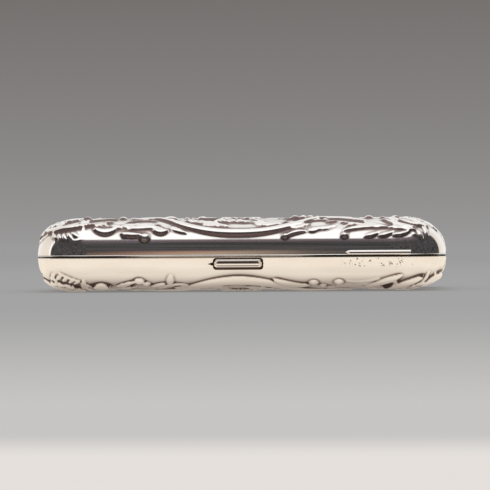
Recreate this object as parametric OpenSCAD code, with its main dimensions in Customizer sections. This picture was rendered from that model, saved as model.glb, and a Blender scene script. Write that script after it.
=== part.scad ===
// A hinged silver card case with chased rococo relief, a push-button catch and a silk lining.
// X runs along the case, -Y is the front where the button is, +Y the hinge, +Z up.
// The origin is under the middle of the case, on the plane that its relief stands on.

/* [Case] */
// Length of the shells at the seam
case_l = 105; // [96:1:116]
// Width of the shells at the seam, front to back
case_w = 76; // [72:1:84]
// Corner radius of the seam outline
corner_r = 14; // [13.5:0.5:17]
// Depth of the plain base shell below the seam
base_h = 8.3; // [7.9:0.1:10]
// Height of the plain lid shell above the seam
lid_h = 9.4; // [8.8:0.1:11]
// How far the rounded edge runs in from the outline
edge_roll = 11.5; // [9.5:0.5:12]
// Fullness of the rounded edge: 2 is an ellipse, more is squarer
edge_fullness = 2.3; // [2.1:0.1:2.7]
// Thickness of the silver sheet
wall = 0.7; // [0.5:0.05:0.9]

/* [Relief] */
// Height that the relief stands above the plain sheet
relief_h = 0.7; // [0.5:0.05:0.9]
// Length of the oval frame on the top and on the bottom
frame_l = 58; // [50:1:64]
// Width of the frame's moulding
frame_w = 2.8; // [2:0.2:3.6]
// Height of the frame's lower edge above the seam on the lid's front
lid_frame_gap = 4.8; // [4:0.2:6]
// Depth of the frame's upper edge below the seam on the base's front
base_frame_gap = 5.6; // [5:0.2:6.4]
// Radius of the round bosses among the scrolls
boss_r = 1.5; // [1.2:0.1:1.8]

/* [Rims] */
// Height of the wire soldered round each mouth
rim_h = 0.45; // [0.35:0.05:0.6]
// Width of that wire, inwards from the outside of the sheet
rim_w = 1.2; // [1.1:0.05:1.4]
// How far the lid's wire stands out past the sheet
rim_proud = 0.15; // [0.05:0.05:0.25]
// Gap between the two wires when the case is shut
seam_gap = 0.12; // [0.08:0.02:0.2]
// Thickness of the upstand inside the base's mouth
bezel_t = 0.45; // [0.35:0.05:0.6]
// Height that the upstand rises into the lid
bezel_rise = 1.3; // [0.8:0.1:1.6]
// Depth that the upstand reaches down behind the base's wire
bezel_drop = 1.9; // [1.5:0.1:2.4]
// Gap between the upstand and the lid's wire
bezel_gap = 0.12; // [0.08:0.02:0.2]

/* [Hinge] */
// Length of the row of knuckles
hinge_l = 64; // [50:1:70]
// Outer diameter of the knuckle tube
knuckle_d = 2.2; // [1.8:0.1:2.4]
// Diameter of the hinge pin
pin_d = 1; // [0.8:0.1:1.2]
// Clearance of the pin in its knuckles, on the radius
pin_gap = 0.03; // [0.02:0.01:0.06]
// Number of knuckles, the outer ones on the base
knuckle_count = 7; // [5:2:9]
// Gap between one knuckle and the next
knuckle_gap = 0.1; // [0.06:0.02:0.2]
// Height of the strips that back the knuckles inside the walls
strip_h = 2; // [1.6:0.1:2.4]
// Thickness of those strips
strip_t = 1.1; // [0.8:0.1:1.4]
// Length of the plugs that close the outer knuckles
plug_l = 0.8; // [0.6:0.1:1.5]

/* [Catch] */
// Length of the push button
button_l = 12; // [10:0.5:14]
// Height of the push button
button_h = 2.3; // [2:0.1:2.5]
// How far the button stands out past the seam outline
button_proud = 0.8; // [0.6:0.1:1.2]
// How far the button can be pressed
button_travel = 0.8; // [0.7:0.05:0.9]
// Gap round the button in its slot
button_gap = 0.3; // [0.2:0.05:0.4]
// Metal left between the slot and the seam
slot_web = 0.35; // [0.25:0.05:0.5]
// Thickness of the catch plate and its hook
catch_t = 0.6; // [0.5:0.05:0.7]
// Width of the hook
hook_w = 6; // [5:0.5:7]
// How far the hook's nose reaches forward of its neck
hook_reach = 0.45; // [0.35:0.05:0.5]
// Length of the keeper inside the lid
keeper_l = 8; // [7:0.5:9]
// Height of the keeper above the lid's wire
keeper_h = 0.8; // [0.6:0.1:1]
// Clearance between the hook and the keeper
hook_gap = 0.12; // [0.08:0.02:0.2]
// Thickness of the bowed leaf spring
spring_t = 0.25; // [0.2:0.05:0.3]
// Room behind the catch plate for the spring
spring_room = 1.5; // [1.4:0.1:1.8]
// Thickness of the housing that holds the catch
housing_t = 0.6; // [0.5:0.1:0.8]

/* [Lining] */
// Thickness of the stiff liner trays
liner_t = 0.7; // [0.5:0.1:0.9]
// Gap between a liner tray and the silver
liner_gap = 0.2; // [0.1:0.05:0.3]
// Thickness of the silk pads at their edge
pad_t = 0.9; // [0.7:0.1:1.2]
// How much the pads crown in the middle
pad_crown = 0.5; // [0.3:0.1:0.7]
// Gap between a pad's edge and the flat of its tray
pad_gap = 0.5; // [0.3:0.1:1]
// Width of the silk ribbons that hold the cards
ribbon_w = 10; // [10:0.5:12]
// Distance of each ribbon from the middle
ribbon_x = 25; // [20:1:28]
// Thickness of the ribbons
ribbon_t = 0.35; // [0.3:0.05:0.5]
// Thickness of the leather pocket in the lid
pocket_t = 0.9; // [0.7:0.1:1.1]
// Distance of the pocket's mouth forward of the case's middle
pocket_mouth = 18; // [14:1:22]

/* [Hidden] */

seam_z = relief_h + base_h;
base_rim_top = seam_z - seam_gap;
base_rim_foot = base_rim_top - rim_h;
lid_rim_top = seam_z + rim_h;
half_w = case_w / 2;
over = 5; // how far a cutting tool runs past what it cuts

// Half sizes of the rectangle that carries the corner arcs, and the flat's corner radius
core_x = case_l / 2 - corner_r;
core_y = half_w - corner_r;
flat_r = corner_r - edge_roll;

// The rounded edge as a quarter superellipse, from the flat (0) out to the seam (1)
edge_steps = 12;
function edge_point(t, run, rise) =
  [run * pow(sin(90 * t), 2 / edge_fullness), rise * pow(cos(90 * t), 2 / edge_fullness)];

// How far a wall of this run lies inside its outline, at a height above the seam
function inset_at(height, run, rise) =
  run * (1 - pow(1 - pow(height / rise, edge_fullness), 1 / edge_fullness));

// Half of a closed case half: a slab with round corners and rounded edges, seam down at z = 0
module pillow(grow, run, rise) {
  r = corner_r + grow;
  profile = [
    [0, 0], [0, rise],
    for (i = [0:edge_steps]) [r - run, 0] + edge_point(i / edge_steps, run, rise)
  ];
  for (sx = [-1, 1], sy = [-1, 1])
    translate([sx * core_x, sy * core_y, 0])
      rotate([0, 0, (sx > 0 ? (sy > 0 ? 0 : 270) : (sy > 0 ? 90 : 180))])
        rotate_extrude(angle = 90) polygon(profile);
  for (sx = [-1, 1])
    translate([sx * core_x, 0, 0]) mirror([sx < 0 ? 1 : 0, 0, 0])
      rotate([90, 0, 0]) linear_extrude(2 * core_y, center = true) polygon(profile);
  for (sy = [-1, 1])
    translate([0, sy * core_y, 0]) mirror([0, sy < 0 ? 1 : 0, 0])
      rotate([90, 0, 90]) linear_extrude(2 * core_x, center = true) polygon(profile);
  translate([-core_x, -core_y, 0]) cube([2 * core_x, 2 * core_y, rise]);
}

// The same form, a depth inside the silver's outer skin
module inner_pillow(depth, rise) {
  pillow(-depth, edge_roll - depth / 2, rise - depth);
}

// Stand a shape drawn above a seam at z = 0 in its place in the lid, or turned down in the base
module in_lid() {
  translate([0, 0, seam_z]) children();
}

module in_base() {
  translate([0, 0, seam_z]) mirror([0, 0, 1]) children();
}

// A flat ring of height t that follows the seam outline
module outline_ring(outer, inner, t) {
  r = corner_r + inner;
  w = outer - inner;
  for (sx = [-1, 1], sy = [-1, 1])
    translate([sx * core_x, sy * core_y, 0])
      rotate([0, 0, (sx > 0 ? (sy > 0 ? 0 : 270) : (sy > 0 ? 90 : 180))])
        rotate_extrude(angle = 90, $fn = 96) translate([r, 0]) square([w, t]);
  for (s = [0, 1]) {
    mirror([s, 0, 0]) translate([core_x + r, -core_y, 0]) cube([w, 2 * core_y, t]);
    mirror([0, s, 0]) translate([-core_x, core_y + r, 0]) cube([2 * core_x, w, t]);
  }
}

// Relief is laid out on the sheet rolled flat, x and y being distances along it from the
// middle. A table gives how far round the edge each distance past the flat comes.
table_steps = 24;
function arc_table(rise) = [
  for (
    i = 0, s = 0;
    i <= table_steps;
    i = i + 1,
    s = s + norm(edge_point(min(i, table_steps) / table_steps, edge_roll, rise)
                 - edge_point((i - 1) / table_steps, edge_roll, rise))
  ) [s, i / table_steps]
];

function held(x, limit) = max(-limit, min(limit, x));

// Where a point of the rolled-out sheet comes in plan
function in_plan(p, table, rise) =
  let (foot = [held(p.x, core_x), held(p.y, core_y)], far = norm(p - foot))
  far <= flat_r ? p :
  foot + (p - foot) / far * (flat_r + edge_point(lookup(far - flat_r, table), edge_roll, rise).x);

// How far the sheet runs from the flat to a height above the seam
function run_down_to(height, table, rise) =
  let (t = acos(pow(height / rise, edge_fullness / 2)) / 90)
  lookup(t, [for (row = table) [row[1], row[0]]]);

// A stroke is [x, y, heading, length, bend, half width]: an arc that swells and tapers
stroke_steps = 7;
function stroke_at(s, f) =
  let (r = s[3] / (s[4] * PI / 180), a = s[2] + s[4] * f)
  [s[0], s[1]] + r * [sin(a) - sin(s[2]), cos(s[2]) - cos(a)];
function stroke_side(s, f, side) =
  let (a = s[2] + s[4] * f + 90, w = max(0.2, s[5] * sin(180 * pow(f, 0.8))))
  stroke_at(s, f) + side * w * [cos(a), sin(a)];
function stroke_outline(s) = [
  for (i = [0:stroke_steps]) stroke_side(s, i / stroke_steps, 1),
  for (i = [stroke_steps:-1:0]) stroke_side(s, i / stroke_steps, -1)
];

// One quarter's leaves fan out from the corner, and its scrolls run beside the frame
leaf_angles = [18, 38, 58, 78];
function quarter_strokes(frame_y) = [
  for (a = leaf_angles)
    [core_x + 4 * cos(a), core_y + 4 * sin(a), a - 8, 11, 16, 1.1],
  [frame_l / 2 - 4, frame_y - 3.5, 20, 13, -70, 1.2],
  [frame_l / 2 + 4, frame_y - 10, 60, 11, -80, 1.1],
  [core_x + 5, 3, 60, 14, 70, 1.2]
];
function quarter_bosses(frame_y) = [
  [frame_l / 2 - 12, frame_y - 5.5], [frame_l / 2 - 5, frame_y - 0.5], [core_x - 2, core_y + 4]
];

function frame_y(gap, table, rise) = core_y + flat_r + run_down_to(gap, table, rise) - frame_w / 2;

module frame_outline(y, grow, table, rise) {
  polygon([
    for (a = [0:6:354])
      in_plan([(frame_l / 2 + grow) * cos(a), (y + grow) * sin(a)], table, rise)
  ]);
}

// Everything that stands up from one sheet: the oval frame, scrolls, leaves and bosses
module relief(rise, gap) {
  table = arc_table(rise);
  y = frame_y(gap, table, rise);
  intersection() {
    pillow(relief_h, edge_roll + relief_h, rise + relief_h);
    linear_extrude(rise + over) union() {
      difference() {
        frame_outline(y, frame_w / 2, table, rise);
        frame_outline(y, -frame_w / 2, table, rise);
      }
      for (mx = [0, 1], my = [0, 1], s = quarter_strokes(y))
        mirror([mx, 0]) mirror([0, my])
          polygon([for (p = stroke_outline(s)) in_plan(p, table, rise)]);
    }
  }
  for (mx = [0, 1], my = [0, 1], b = quarter_bosses(y)) {
    p = in_plan(b, table, rise);
    far = max(0, norm(b - [held(b.x, core_x), held(b.y, core_y)]) - flat_r);
    mirror([mx, 0, 0]) mirror([0, my, 0])
      translate([p.x, p.y, edge_point(lookup(far, table), edge_roll, rise).y + relief_h - boss_r])
        sphere(boss_r, $fn = 48);
  }
}

// Hollow half shell with its relief, its mouth cut off where the rim wire takes over
module half_shell(rise, gap, cut) {
  difference() {
    union() {
      pillow(0, edge_roll, rise);
      relief(rise, gap);
    }
    inner_pillow(wall, rise);
    translate([-case_l, -case_w, -over]) cube([2 * case_l, 2 * case_w, over + cut]);
  }
}

// Hinge: the axis lies just behind everything, so that the lid can lie back
hinge_y = half_w + rim_proud + 0.05;
knuckle_pitch = hinge_l / knuckle_count;
channel_gap = 0.15;

// Runs of the knuckle row: which = 0 the base's, 1 the lid's
module knuckle_runs(which, d, extra) {
  for (i = [which:2:knuckle_count - 1])
    translate([-hinge_l / 2 + i * knuckle_pitch + knuckle_gap / 2 - extra, hinge_y, seam_z])
      rotate([0, 90, 0]) cylinder(h = knuckle_pitch - knuckle_gap + 2 * extra, d = d, $fn = 48);
}

// What a half is cut away for: its own knuckles' seats, and room for the other half's
module hinge_channel(own) {
  knuckle_runs(own, knuckle_d, knuckle_gap / 2);
  knuckle_runs(1 - own, knuckle_d + 2 * channel_gap, knuckle_gap);
}

module knuckles(which) {
  difference() {
    knuckle_runs(which, knuckle_d, 0);
    translate([-hinge_l, hinge_y, seam_z]) rotate([0, 90, 0])
      cylinder(h = 2 * hinge_l, d = pin_d + 2 * pin_gap, $fn = 48);
  }
}

// Slot in the front for the button, with a pointed nick at each end
slot_l = button_l + 2 * button_gap;
slot_h = button_h + 2 * button_gap;
slot_z = base_rim_top - slot_web - slot_h / 2;
nick = 1.1;

module button_slot() {
  translate([0, -half_w, slot_z]) rotate([90, 0, 0]) linear_extrude(2 * over, center = true) {
    square([slot_l, slot_h], center = true);
    for (s = [-1, 1])
      polygon([[s * slot_l / 2, -nick / 2], [s * (slot_l / 2 + nick), 0], [s * slot_l / 2, nick / 2]]);
  }
}

// Catch: the plate lies just behind the front wall, and its room is the housing
wall_foot = inset_at(seam_z - slot_z + button_h / 2 + 0.3, edge_roll - wall / 2, base_h - wall);
plate_front = -half_w + wall + wall_foot + 0.15;
plate_back = plate_front + catch_t;
plate_l = button_l + 4;
plate_foot = slot_z - button_h / 2 - 0.3;
plate_top = base_rim_foot + 0.1;
keeper_back = plate_front - hook_gap;
nose_z = lid_rim_top + keeper_h + hook_gap;
nose_top = nose_z + 0.8;
housing_front = plate_back + spring_room;
housing_half_l = plate_l / 2 + 0.4;
housing_foot = 2;

module base_shell() {
  color("gainsboro") difference() {
    in_base() half_shell(base_h, base_frame_gap, rim_h + seam_gap);
    hinge_channel(0);
    button_slot();
  }
}

module base_rim() {
  color("silver") difference() {
    translate([0, 0, base_rim_foot]) outline_ring(0, -rim_w - bezel_gap, rim_h);
    hinge_channel(0);
    button_slot();
  }
}

// Upstand that guides the lid, left out along the hinge and at the catch
module base_bezel() {
  outer = -rim_w - bezel_gap;
  foot = base_rim_foot - bezel_drop;
  catch_l = 2 * (housing_half_l + housing_t + 0.3);
  color("gold") difference() {
    translate([0, 0, foot]) outline_ring(outer, outer - bezel_t, seam_z + bezel_rise - foot);
    translate([-hinge_l / 2 - 2, 0, 0]) cube([hinge_l + 4, case_w, 2 * seam_z]);
    translate([-catch_l / 2, -case_w, 0]) cube([catch_l, case_w, 2 * seam_z]);
  }
}

// Strips behind the knuckles follow the inside of the walls
module base_hinge_strip() {
  color("silver") difference() {
    intersection() {
      in_base() inner_pillow(wall, base_h);
      translate([-hinge_l / 2, half_w - wall - strip_t, base_rim_foot - strip_h])
        cube([hinge_l, over, strip_h]);
    }
    hinge_channel(0);
  }
}

module lid_hinge_strip() {
  color("silver") difference() {
    intersection() {
      in_lid() inner_pillow(wall, lid_h);
      translate([-hinge_l / 2, half_w - wall - strip_t, lid_rim_top]) cube([hinge_l, over, strip_h]);
    }
    hinge_channel(1);
  }
}

module base_knuckles() {
  color("silver") knuckles(0);
}

module lid_knuckles() {
  color("silver") knuckles(1);
}

module hinge_pin() {
  length = hinge_l - knuckle_gap - 2 * plug_l;
  color("lightgray") translate([-length / 2, hinge_y, seam_z]) rotate([0, 90, 0])
    cylinder(h = length, d = pin_d, $fn = 48);
}

// Each plug fills the end of an outer knuckle, flush with it and eased round its edge
module hinge_end_plugs() {
  end = (hinge_l - knuckle_gap) / 2;
  r = pin_d / 2 + pin_gap;
  color("silver") for (s = [0, 1]) mirror([s, 0, 0]) translate([end - plug_l, hinge_y, seam_z])
    rotate([0, 90, 0]) rotate_extrude($fn = 48)
      polygon([[0, 0], [r, 0], [r, plug_l - 0.1], [r - 0.15, plug_l], [0, plug_l]]);
}

// Open-topped box behind the slot, cut to the inside of the wall that it is soldered to
module catch_housing() {
  outer_l = 2 * (housing_half_l + housing_t);
  top = base_rim_foot - housing_foot;
  color("silver") difference() {
    intersection() {
      in_base() inner_pillow(wall, base_h);
      translate([-outer_l / 2, -half_w, housing_foot])
        cube([outer_l, half_w + housing_front + housing_t, top]);
    }
    translate([-housing_half_l, -case_w, 0]) cube([2 * housing_half_l, case_w + housing_front, 2 * top]);
    spring_rivet_shank();
  }
}

// Leaf spring bowed between the housing and the catch plate
spring_half_l = plate_l / 2 - 1.5;
spring_sag = spring_room - spring_t;
spring_r = (pow(spring_half_l, 2) + pow(spring_sag, 2)) / (2 * spring_sag);
spring_h = button_h;
rivet_d = 1;

module spring_rivet_shank() {
  translate([0, housing_front - spring_t, slot_z]) rotate([-90, 0, 0])
    cylinder(h = spring_t + housing_t, d = rivet_d, $fn = 32);
}

module catch_spring() {
  half_angle = asin(spring_half_l / spring_r);
  color("slategray") difference() {
    translate([0, housing_front - spring_r, slot_z - spring_h / 2])
      rotate([0, 0, 90 - half_angle]) rotate_extrude(angle = 2 * half_angle, $fn = 96)
        translate([spring_r - spring_t, 0]) square([spring_t, spring_h]);
    spring_rivet_shank();
  }
}

module spring_rivet() {
  color("gold") {
    spring_rivet_shank();
    translate([0, housing_front - spring_t, slot_z]) rotate([90, 0, 0]) cylinder(h = 0.2, d = 1.5, $fn = 32);
  }
}

// Stiff trays that carry the silk, standing off the silver by a small gap
tray_in = wall + liner_gap;
base_tray_top = base_rim_foot - bezel_drop - 0.2;
lid_tray_foot = seam_z + bezel_rise + 0.3;
strip_gap = 0.2;
housing_notch = housing_half_l + housing_t + 0.4;
housing_notch_y = housing_front + housing_t + 0.2;

module base_liner_tray() {
  color("wheat") difference() {
    in_base() difference() {
      inner_pillow(tray_in, base_h);
      inner_pillow(tray_in + liner_t, base_h);
    }
    translate([-case_l, -case_w, base_tray_top]) cube([2 * case_l, 2 * case_w, 2 * seam_z]);
    translate([-hinge_l / 2 - strip_gap, core_y, base_rim_foot - strip_h - strip_gap])
      cube([hinge_l + 2 * strip_gap, case_w, seam_z]);
    translate([-housing_notch, -case_w, 0]) cube([2 * housing_notch, case_w + housing_notch_y, 2 * seam_z]);
  }
}

module lid_liner_tray() {
  color("wheat") difference() {
    in_lid() difference() {
      inner_pillow(tray_in, lid_h);
      inner_pillow(tray_in + liner_t, lid_h);
    }
    translate([-case_l, -case_w, lid_tray_foot - 2 * seam_z]) cube([2 * case_l, 2 * case_w, 2 * seam_z]);
    translate([-hinge_l / 2 - strip_gap, core_y, 0])
      cube([hinge_l + 2 * strip_gap, case_w, lid_rim_top + strip_h + strip_gap]);
    translate([-hook_w / 2 - 1, -case_w, 0])
      cube([hook_w + 2, case_w + plate_back + button_travel + 0.5, nose_top + 0.4]);
  }
}

// Thin pad with a crowned top, its outline drawn in to a ring of points per layer
pad_points = 48;
pad_rings = 6;
tray_flat_r = corner_r - tray_in - liner_t - (edge_roll - (tray_in + liner_t) / 2);

function pad_point(i, share) =
  let (a = 360 * (i + 0.5) / pad_points, r = tray_flat_r - pad_gap + 1.2)
  share * [
    sign(cos(a)) * (core_x - 1.2) + r * cos(a),
    sign(sin(a)) * (core_y - 1.2) + r * sin(a)
  ];
function pad_height(share) = pad_t + pad_crown * (1 - pow(share, 4));

module pad() {
  n = pad_points;
  last = pad_rings * n;
  points = [
    for (i = [0:n - 1]) let (p = pad_point(i, 0.985)) [p.x, p.y, 0],
    for (k = [0:pad_rings - 1], i = [0:n - 1])
      let (share = k == 0 ? 1 : 1 - pow(k / pad_rings, 1.3), p = pad_point(i, share))
      [p.x, p.y, k == 0 ? pad_t / 2 : pad_height(share)],
    [0, 0, pad_height(0)]
  ];
  polyhedron(points, [
    [for (i = [0:n - 1]) i],
    for (k = [0:pad_rings - 1], i = [0:n - 1])
      let (a = k * n + i, b = k * n + (i + 1) % n)
      each [[a, a + n, b], [b, a + n, b + n]],
    for (i = [0:n - 1]) [last + i, last + n, last + (i + 1) % n]
  ]);
}

base_floor = relief_h + tray_in + liner_t;
lid_ceiling = seam_z + lid_h - tray_in - liner_t;

module base_pad() {
  color("ivory") difference() {
    translate([0, 0, base_floor]) pad();
    translate([-housing_notch, -case_w, 0]) cube([2 * housing_notch, case_w + housing_notch_y, 2 * seam_z]);
  }
}

module lid_pad() {
  color("ivory") translate([0, 0, lid_ceiling]) mirror([0, 0, 1]) pad();
}

// Ribbons run from front to back over the pad, each end held under a small tab
tab_y = half_w - 5.7;
tab_w = 2;
tab_h = 1.3;
tab_top = 5;
ribbon_end_z = tab_top - 0.2 - ribbon_t;
ribbon_rise = 0.3;
ribbon_steps = 10;

function ribbon_line(lift) = [
  for (i = [0:ribbon_steps])
    let (f = 2 * i / ribbon_steps - 1) [tab_y * f, ribbon_end_z + ribbon_rise * (1 - f * f) + lift]
];

module base_ribbons() {
  top = ribbon_line(ribbon_t);
  color("ivory") for (s = [-1, 1])
    translate([s * ribbon_x - ribbon_w / 2, 0, 0]) rotate([90, 0, 90]) linear_extrude(ribbon_w)
      polygon([each ribbon_line(0), for (i = [ribbon_steps:-1:0]) top[i]]);
}

module ribbon_tabs() {
  color("gold") intersection() {
    in_base() inner_pillow(tray_in + liner_t, base_h);
    for (sx = [-1, 1], sy = [-1, 1])
      translate([sx * ribbon_x, sy * (tab_y + tab_w / 2), tab_top - tab_h])
        translate([-ribbon_w / 2 - 0.5, -tab_w / 2, 0]) cube([ribbon_w + 1, tab_w, tab_h]);
  }
}

// Leather pocket: a panel across the lid with a thumb notch in its mouth
pocket_z = seam_z + 4.3;
notch_r = 10;
notch_depth = 4;
binding_w = 0.9;

module pocket_front(shift) {
  translate([-case_l, -case_w]) square([2 * case_l, case_w - pocket_mouth + shift]);
  translate([0, notch_depth - notch_r - pocket_mouth]) circle(notch_r + shift, $fn = 96);
}

module lid_pocket() {
  color("saddlebrown") difference() {
    intersection() {
      in_lid() inner_pillow(tray_in + liner_t, lid_h);
      translate([-case_l, -case_w, pocket_z]) cube([2 * case_l, 2 * case_w, pocket_t]);
    }
    linear_extrude(2 * pocket_z) pocket_front(binding_w);
  }
}

module pocket_binding() {
  proud = 0.12;
  color("sienna") intersection() {
    in_lid() inner_pillow(tray_in + liner_t, lid_h);
    translate([0, 0, pocket_z - proud]) linear_extrude(pocket_t + 2 * proud) difference() {
      pocket_front(binding_w);
      pocket_front(0);
    }
  }
}

module lid_shell() {
  color("gainsboro") difference() {
    in_lid() half_shell(lid_h, lid_frame_gap, rim_h);
    hinge_channel(1);
  }
}

module lid_rim() {
  color("silver") difference() {
    translate([0, 0, seam_z]) outline_ring(rim_proud, -rim_w, rim_h);
    hinge_channel(1);
  }
}

// Ledge that the hook's nose reaches over
module catch_keeper() {
  color("silver") intersection() {
    in_lid() inner_pillow(wall, lid_h);
    translate([-keeper_l / 2, -half_w, lid_rim_top]) cube([keeper_l, half_w + keeper_back, keeper_h]);
  }
}

// Button: a rounded bar with a groove along its face
module button_rivet_shanks() {
  front = -half_w + 0.4;
  for (s = [-1, 1])
    translate([s * button_l / 3, front, slot_z]) rotate([-90, 0, 0])
      cylinder(h = plate_back - front, d = rivet_d, $fn = 32);
}

module push_button() {
  front = -half_w - button_proud;
  round_r = 0.55;
  face = 0.25;
  color("gainsboro") difference() {
    intersection() {
      translate([0, 0, slot_z]) rotate([90, 0, 0])
        linear_extrude(2 * case_w, center = true) union() {
          square([button_l - 2 * round_r, button_h], center = true);
          square([button_l, button_h - 2 * round_r], center = true);
          for (sx = [-1, 1], sz = [-1, 1])
            translate([sx * (button_l / 2 - round_r), sz * (button_h / 2 - round_r)]) circle(round_r, $fn = 32);
        }
      translate([-button_l, 0, slot_z]) rotate([90, 0, 90]) linear_extrude(2 * button_l)
        polygon([
          [plate_front, -button_h / 2], [front + face, -button_h / 2], [front, -button_h / 2 + face],
          [front, button_h / 2 - face], [front + face, button_h / 2], [plate_front, button_h / 2]
        ]);
    }
    translate([0, front, slot_z + button_h / 8]) rotate([0, 90, 0])
      cylinder(h = button_l - 1.2, d = button_h / 6, center = true, $fn = 24);
    button_rivet_shanks();
  }
}

// Plate behind the button, with the hook that rises through the mouth
module catch_plate() {
  color("silver") difference() {
    union() {
      translate([-plate_l / 2, plate_front, plate_foot]) cube([plate_l, catch_t, plate_top - plate_foot]);
      translate([-hook_w / 2, 0, 0]) rotate([90, 0, 90]) linear_extrude(hook_w)
        polygon([
          [plate_front, plate_top - 1], [plate_front, nose_z], [plate_front - hook_reach, nose_z],
          [plate_front - hook_reach, nose_z + 0.2], [plate_back - 0.4, nose_top],
          [plate_back, nose_top], [plate_back, plate_top - 1]
        ]);
    }
    button_rivet_shanks();
  }
}

module button_rivets() {
  color("gold") button_rivet_shanks();
}

base_shell();
base_rim();
base_bezel();
base_hinge_strip();
base_knuckles();
hinge_pin();
hinge_end_plugs();
catch_housing();
catch_spring();
spring_rivet();
base_liner_tray();
base_pad();
base_ribbons();
ribbon_tabs();
lid_shell();
lid_rim();
lid_hinge_strip();
lid_knuckles();
catch_keeper();
lid_liner_tray();
lid_pad();
lid_pocket();
pocket_binding();
push_button();
catch_plate();
button_rivets();
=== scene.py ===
import math
from collections import namedtuple

import bmesh
import bpy
import numpy as np
from mathutils import Matrix, Vector


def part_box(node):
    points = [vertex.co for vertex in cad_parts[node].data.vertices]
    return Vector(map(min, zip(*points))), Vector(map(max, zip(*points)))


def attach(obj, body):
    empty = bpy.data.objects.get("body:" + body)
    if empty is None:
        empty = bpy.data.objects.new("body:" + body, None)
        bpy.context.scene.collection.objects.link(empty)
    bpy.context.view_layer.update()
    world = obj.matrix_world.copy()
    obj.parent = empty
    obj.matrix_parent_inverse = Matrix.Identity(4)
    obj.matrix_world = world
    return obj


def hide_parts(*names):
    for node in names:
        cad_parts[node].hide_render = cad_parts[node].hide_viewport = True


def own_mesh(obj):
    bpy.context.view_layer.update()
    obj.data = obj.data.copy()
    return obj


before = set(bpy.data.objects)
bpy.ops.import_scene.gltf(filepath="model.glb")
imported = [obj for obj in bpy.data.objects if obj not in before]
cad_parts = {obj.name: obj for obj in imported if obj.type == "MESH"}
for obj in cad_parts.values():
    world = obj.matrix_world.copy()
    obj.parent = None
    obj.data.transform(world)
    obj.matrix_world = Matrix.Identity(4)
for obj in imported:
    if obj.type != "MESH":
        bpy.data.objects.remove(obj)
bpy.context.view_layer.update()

# Sizes are in millimetres, and meshes are scaled to metres when they are finished
mm = 0.001
Corner = namedtuple("Corner", "x y z")


def box(node):
    # the low and the high corner of a CAD node
    return [Corner(*(c / mm for c in corner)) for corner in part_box(node)]


rimLow, rimHigh = box("lid_rim")
baseRimLow, baseRimHigh = box("base_rim")
knuckleLow, knuckleHigh = box("base_knuckles")
buttonLow, buttonHigh = box("push_button")
pocketLow, pocketHigh = box("lid_pocket")

# The case. What the frame shows is taken from it.
case = {
    "cornerRadius": 14.0,
    "edgeRun": 11.5,      # how far the rounded edge runs in from the outline
    "fullness": 2.3,      # 2 is an ellipse, more is squarer
    "sheet": 0.7,         # thickness of the silver
    "relief": 0.7,        # height of the main relief
    "finest": 0.35,       # what the finest forms may stand above that
    "seam": rimLow.z,
    "halfLength": baseRimHigh.x,
    "halfWidth": -baseRimLow.y,
}
coreX = case["halfLength"] - case["cornerRadius"]
coreY = case["halfWidth"] - case["cornerRadius"]
flatRadius = case["cornerRadius"] - case["edgeRun"]

# The camera, whose angles are in degrees, and what the photograph shows from there
view = {
    "away": 700.0, "azimuth": 3.3, "height": 11.83, "across": 1.8, "lens": 203.8, "film": 36.0,
    "roll": -0.34, "pixels": 490,
}
# the scale is in millimetres to a pixel at the distance of the outline
photo = {"buttonMiddle": 237.75, "scale": 0.2575, "eyeOverSeam": 11.2}

# The halves of the case: their rise from the seam, and where tarnish and painted shade darken them. Painted
# shade lies on flanks steeper than the given pair of slopes (at the flat, at the outline), tarnish with
# painted shade within the given reach of a form, and a soft painted shade round the forms.
lidHalf = {
    "up": 1, "rise": box("lid_shell")[1].z - case["relief"] - case["seam"], "mouth": rimHigh.z - case["seam"],
    "shadedFlankFrom": (0.20, 0.48), "sootAndShadeReach": 0.46, "sootAndShadeShare": 0.21, "softShade": 0.12,
}
baseHalf = {
    "up": -1, "rise": case["seam"] - case["relief"], "mouth": case["seam"] - baseRimLow.z,
    "shadedFlankFrom": (0.45, 1.10), "sootAndShadeReach": 0.50, "sootAndShadeShare": 0.175, "softShade": 0.34,
}


def operator(kind, swapped=False):
    # what Python's arithmetic does to a wire
    return lambda wire, other: wire.net.maths(kind, *((other, wire) if swapped else (wire, other)))


class Wire:
    # a node's output that takes Python arithmetic
    def __init__(self, net, socket):
        self.net, self.socket = net, socket

    __add__ = __radd__ = operator("ADD")
    __mul__ = __rmul__ = operator("MULTIPLY")
    __sub__, __rsub__ = operator("SUBTRACT"), operator("SUBTRACT", swapped=True)
    __truediv__, __pow__ = operator("DIVIDE"), operator("POWER")

    def waves(self, length=2 * math.pi):
        return self.net.maths("SINE", self * (2 * math.pi / length))

    def between(self, low, high, kind="SMOOTHSTEP"):
        # 0 at low and 1 at high
        return self.net.add("MapRange", {0: self, 1: low, 2: high}, {"interpolation_type": kind})

    def band(self, low, lowFull, highFull, high):
        # 1 from lowFull to highFull, and 0 outside low and high
        return self.between(low, lowFull) * (1 - self.between(highFull, high))


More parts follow.
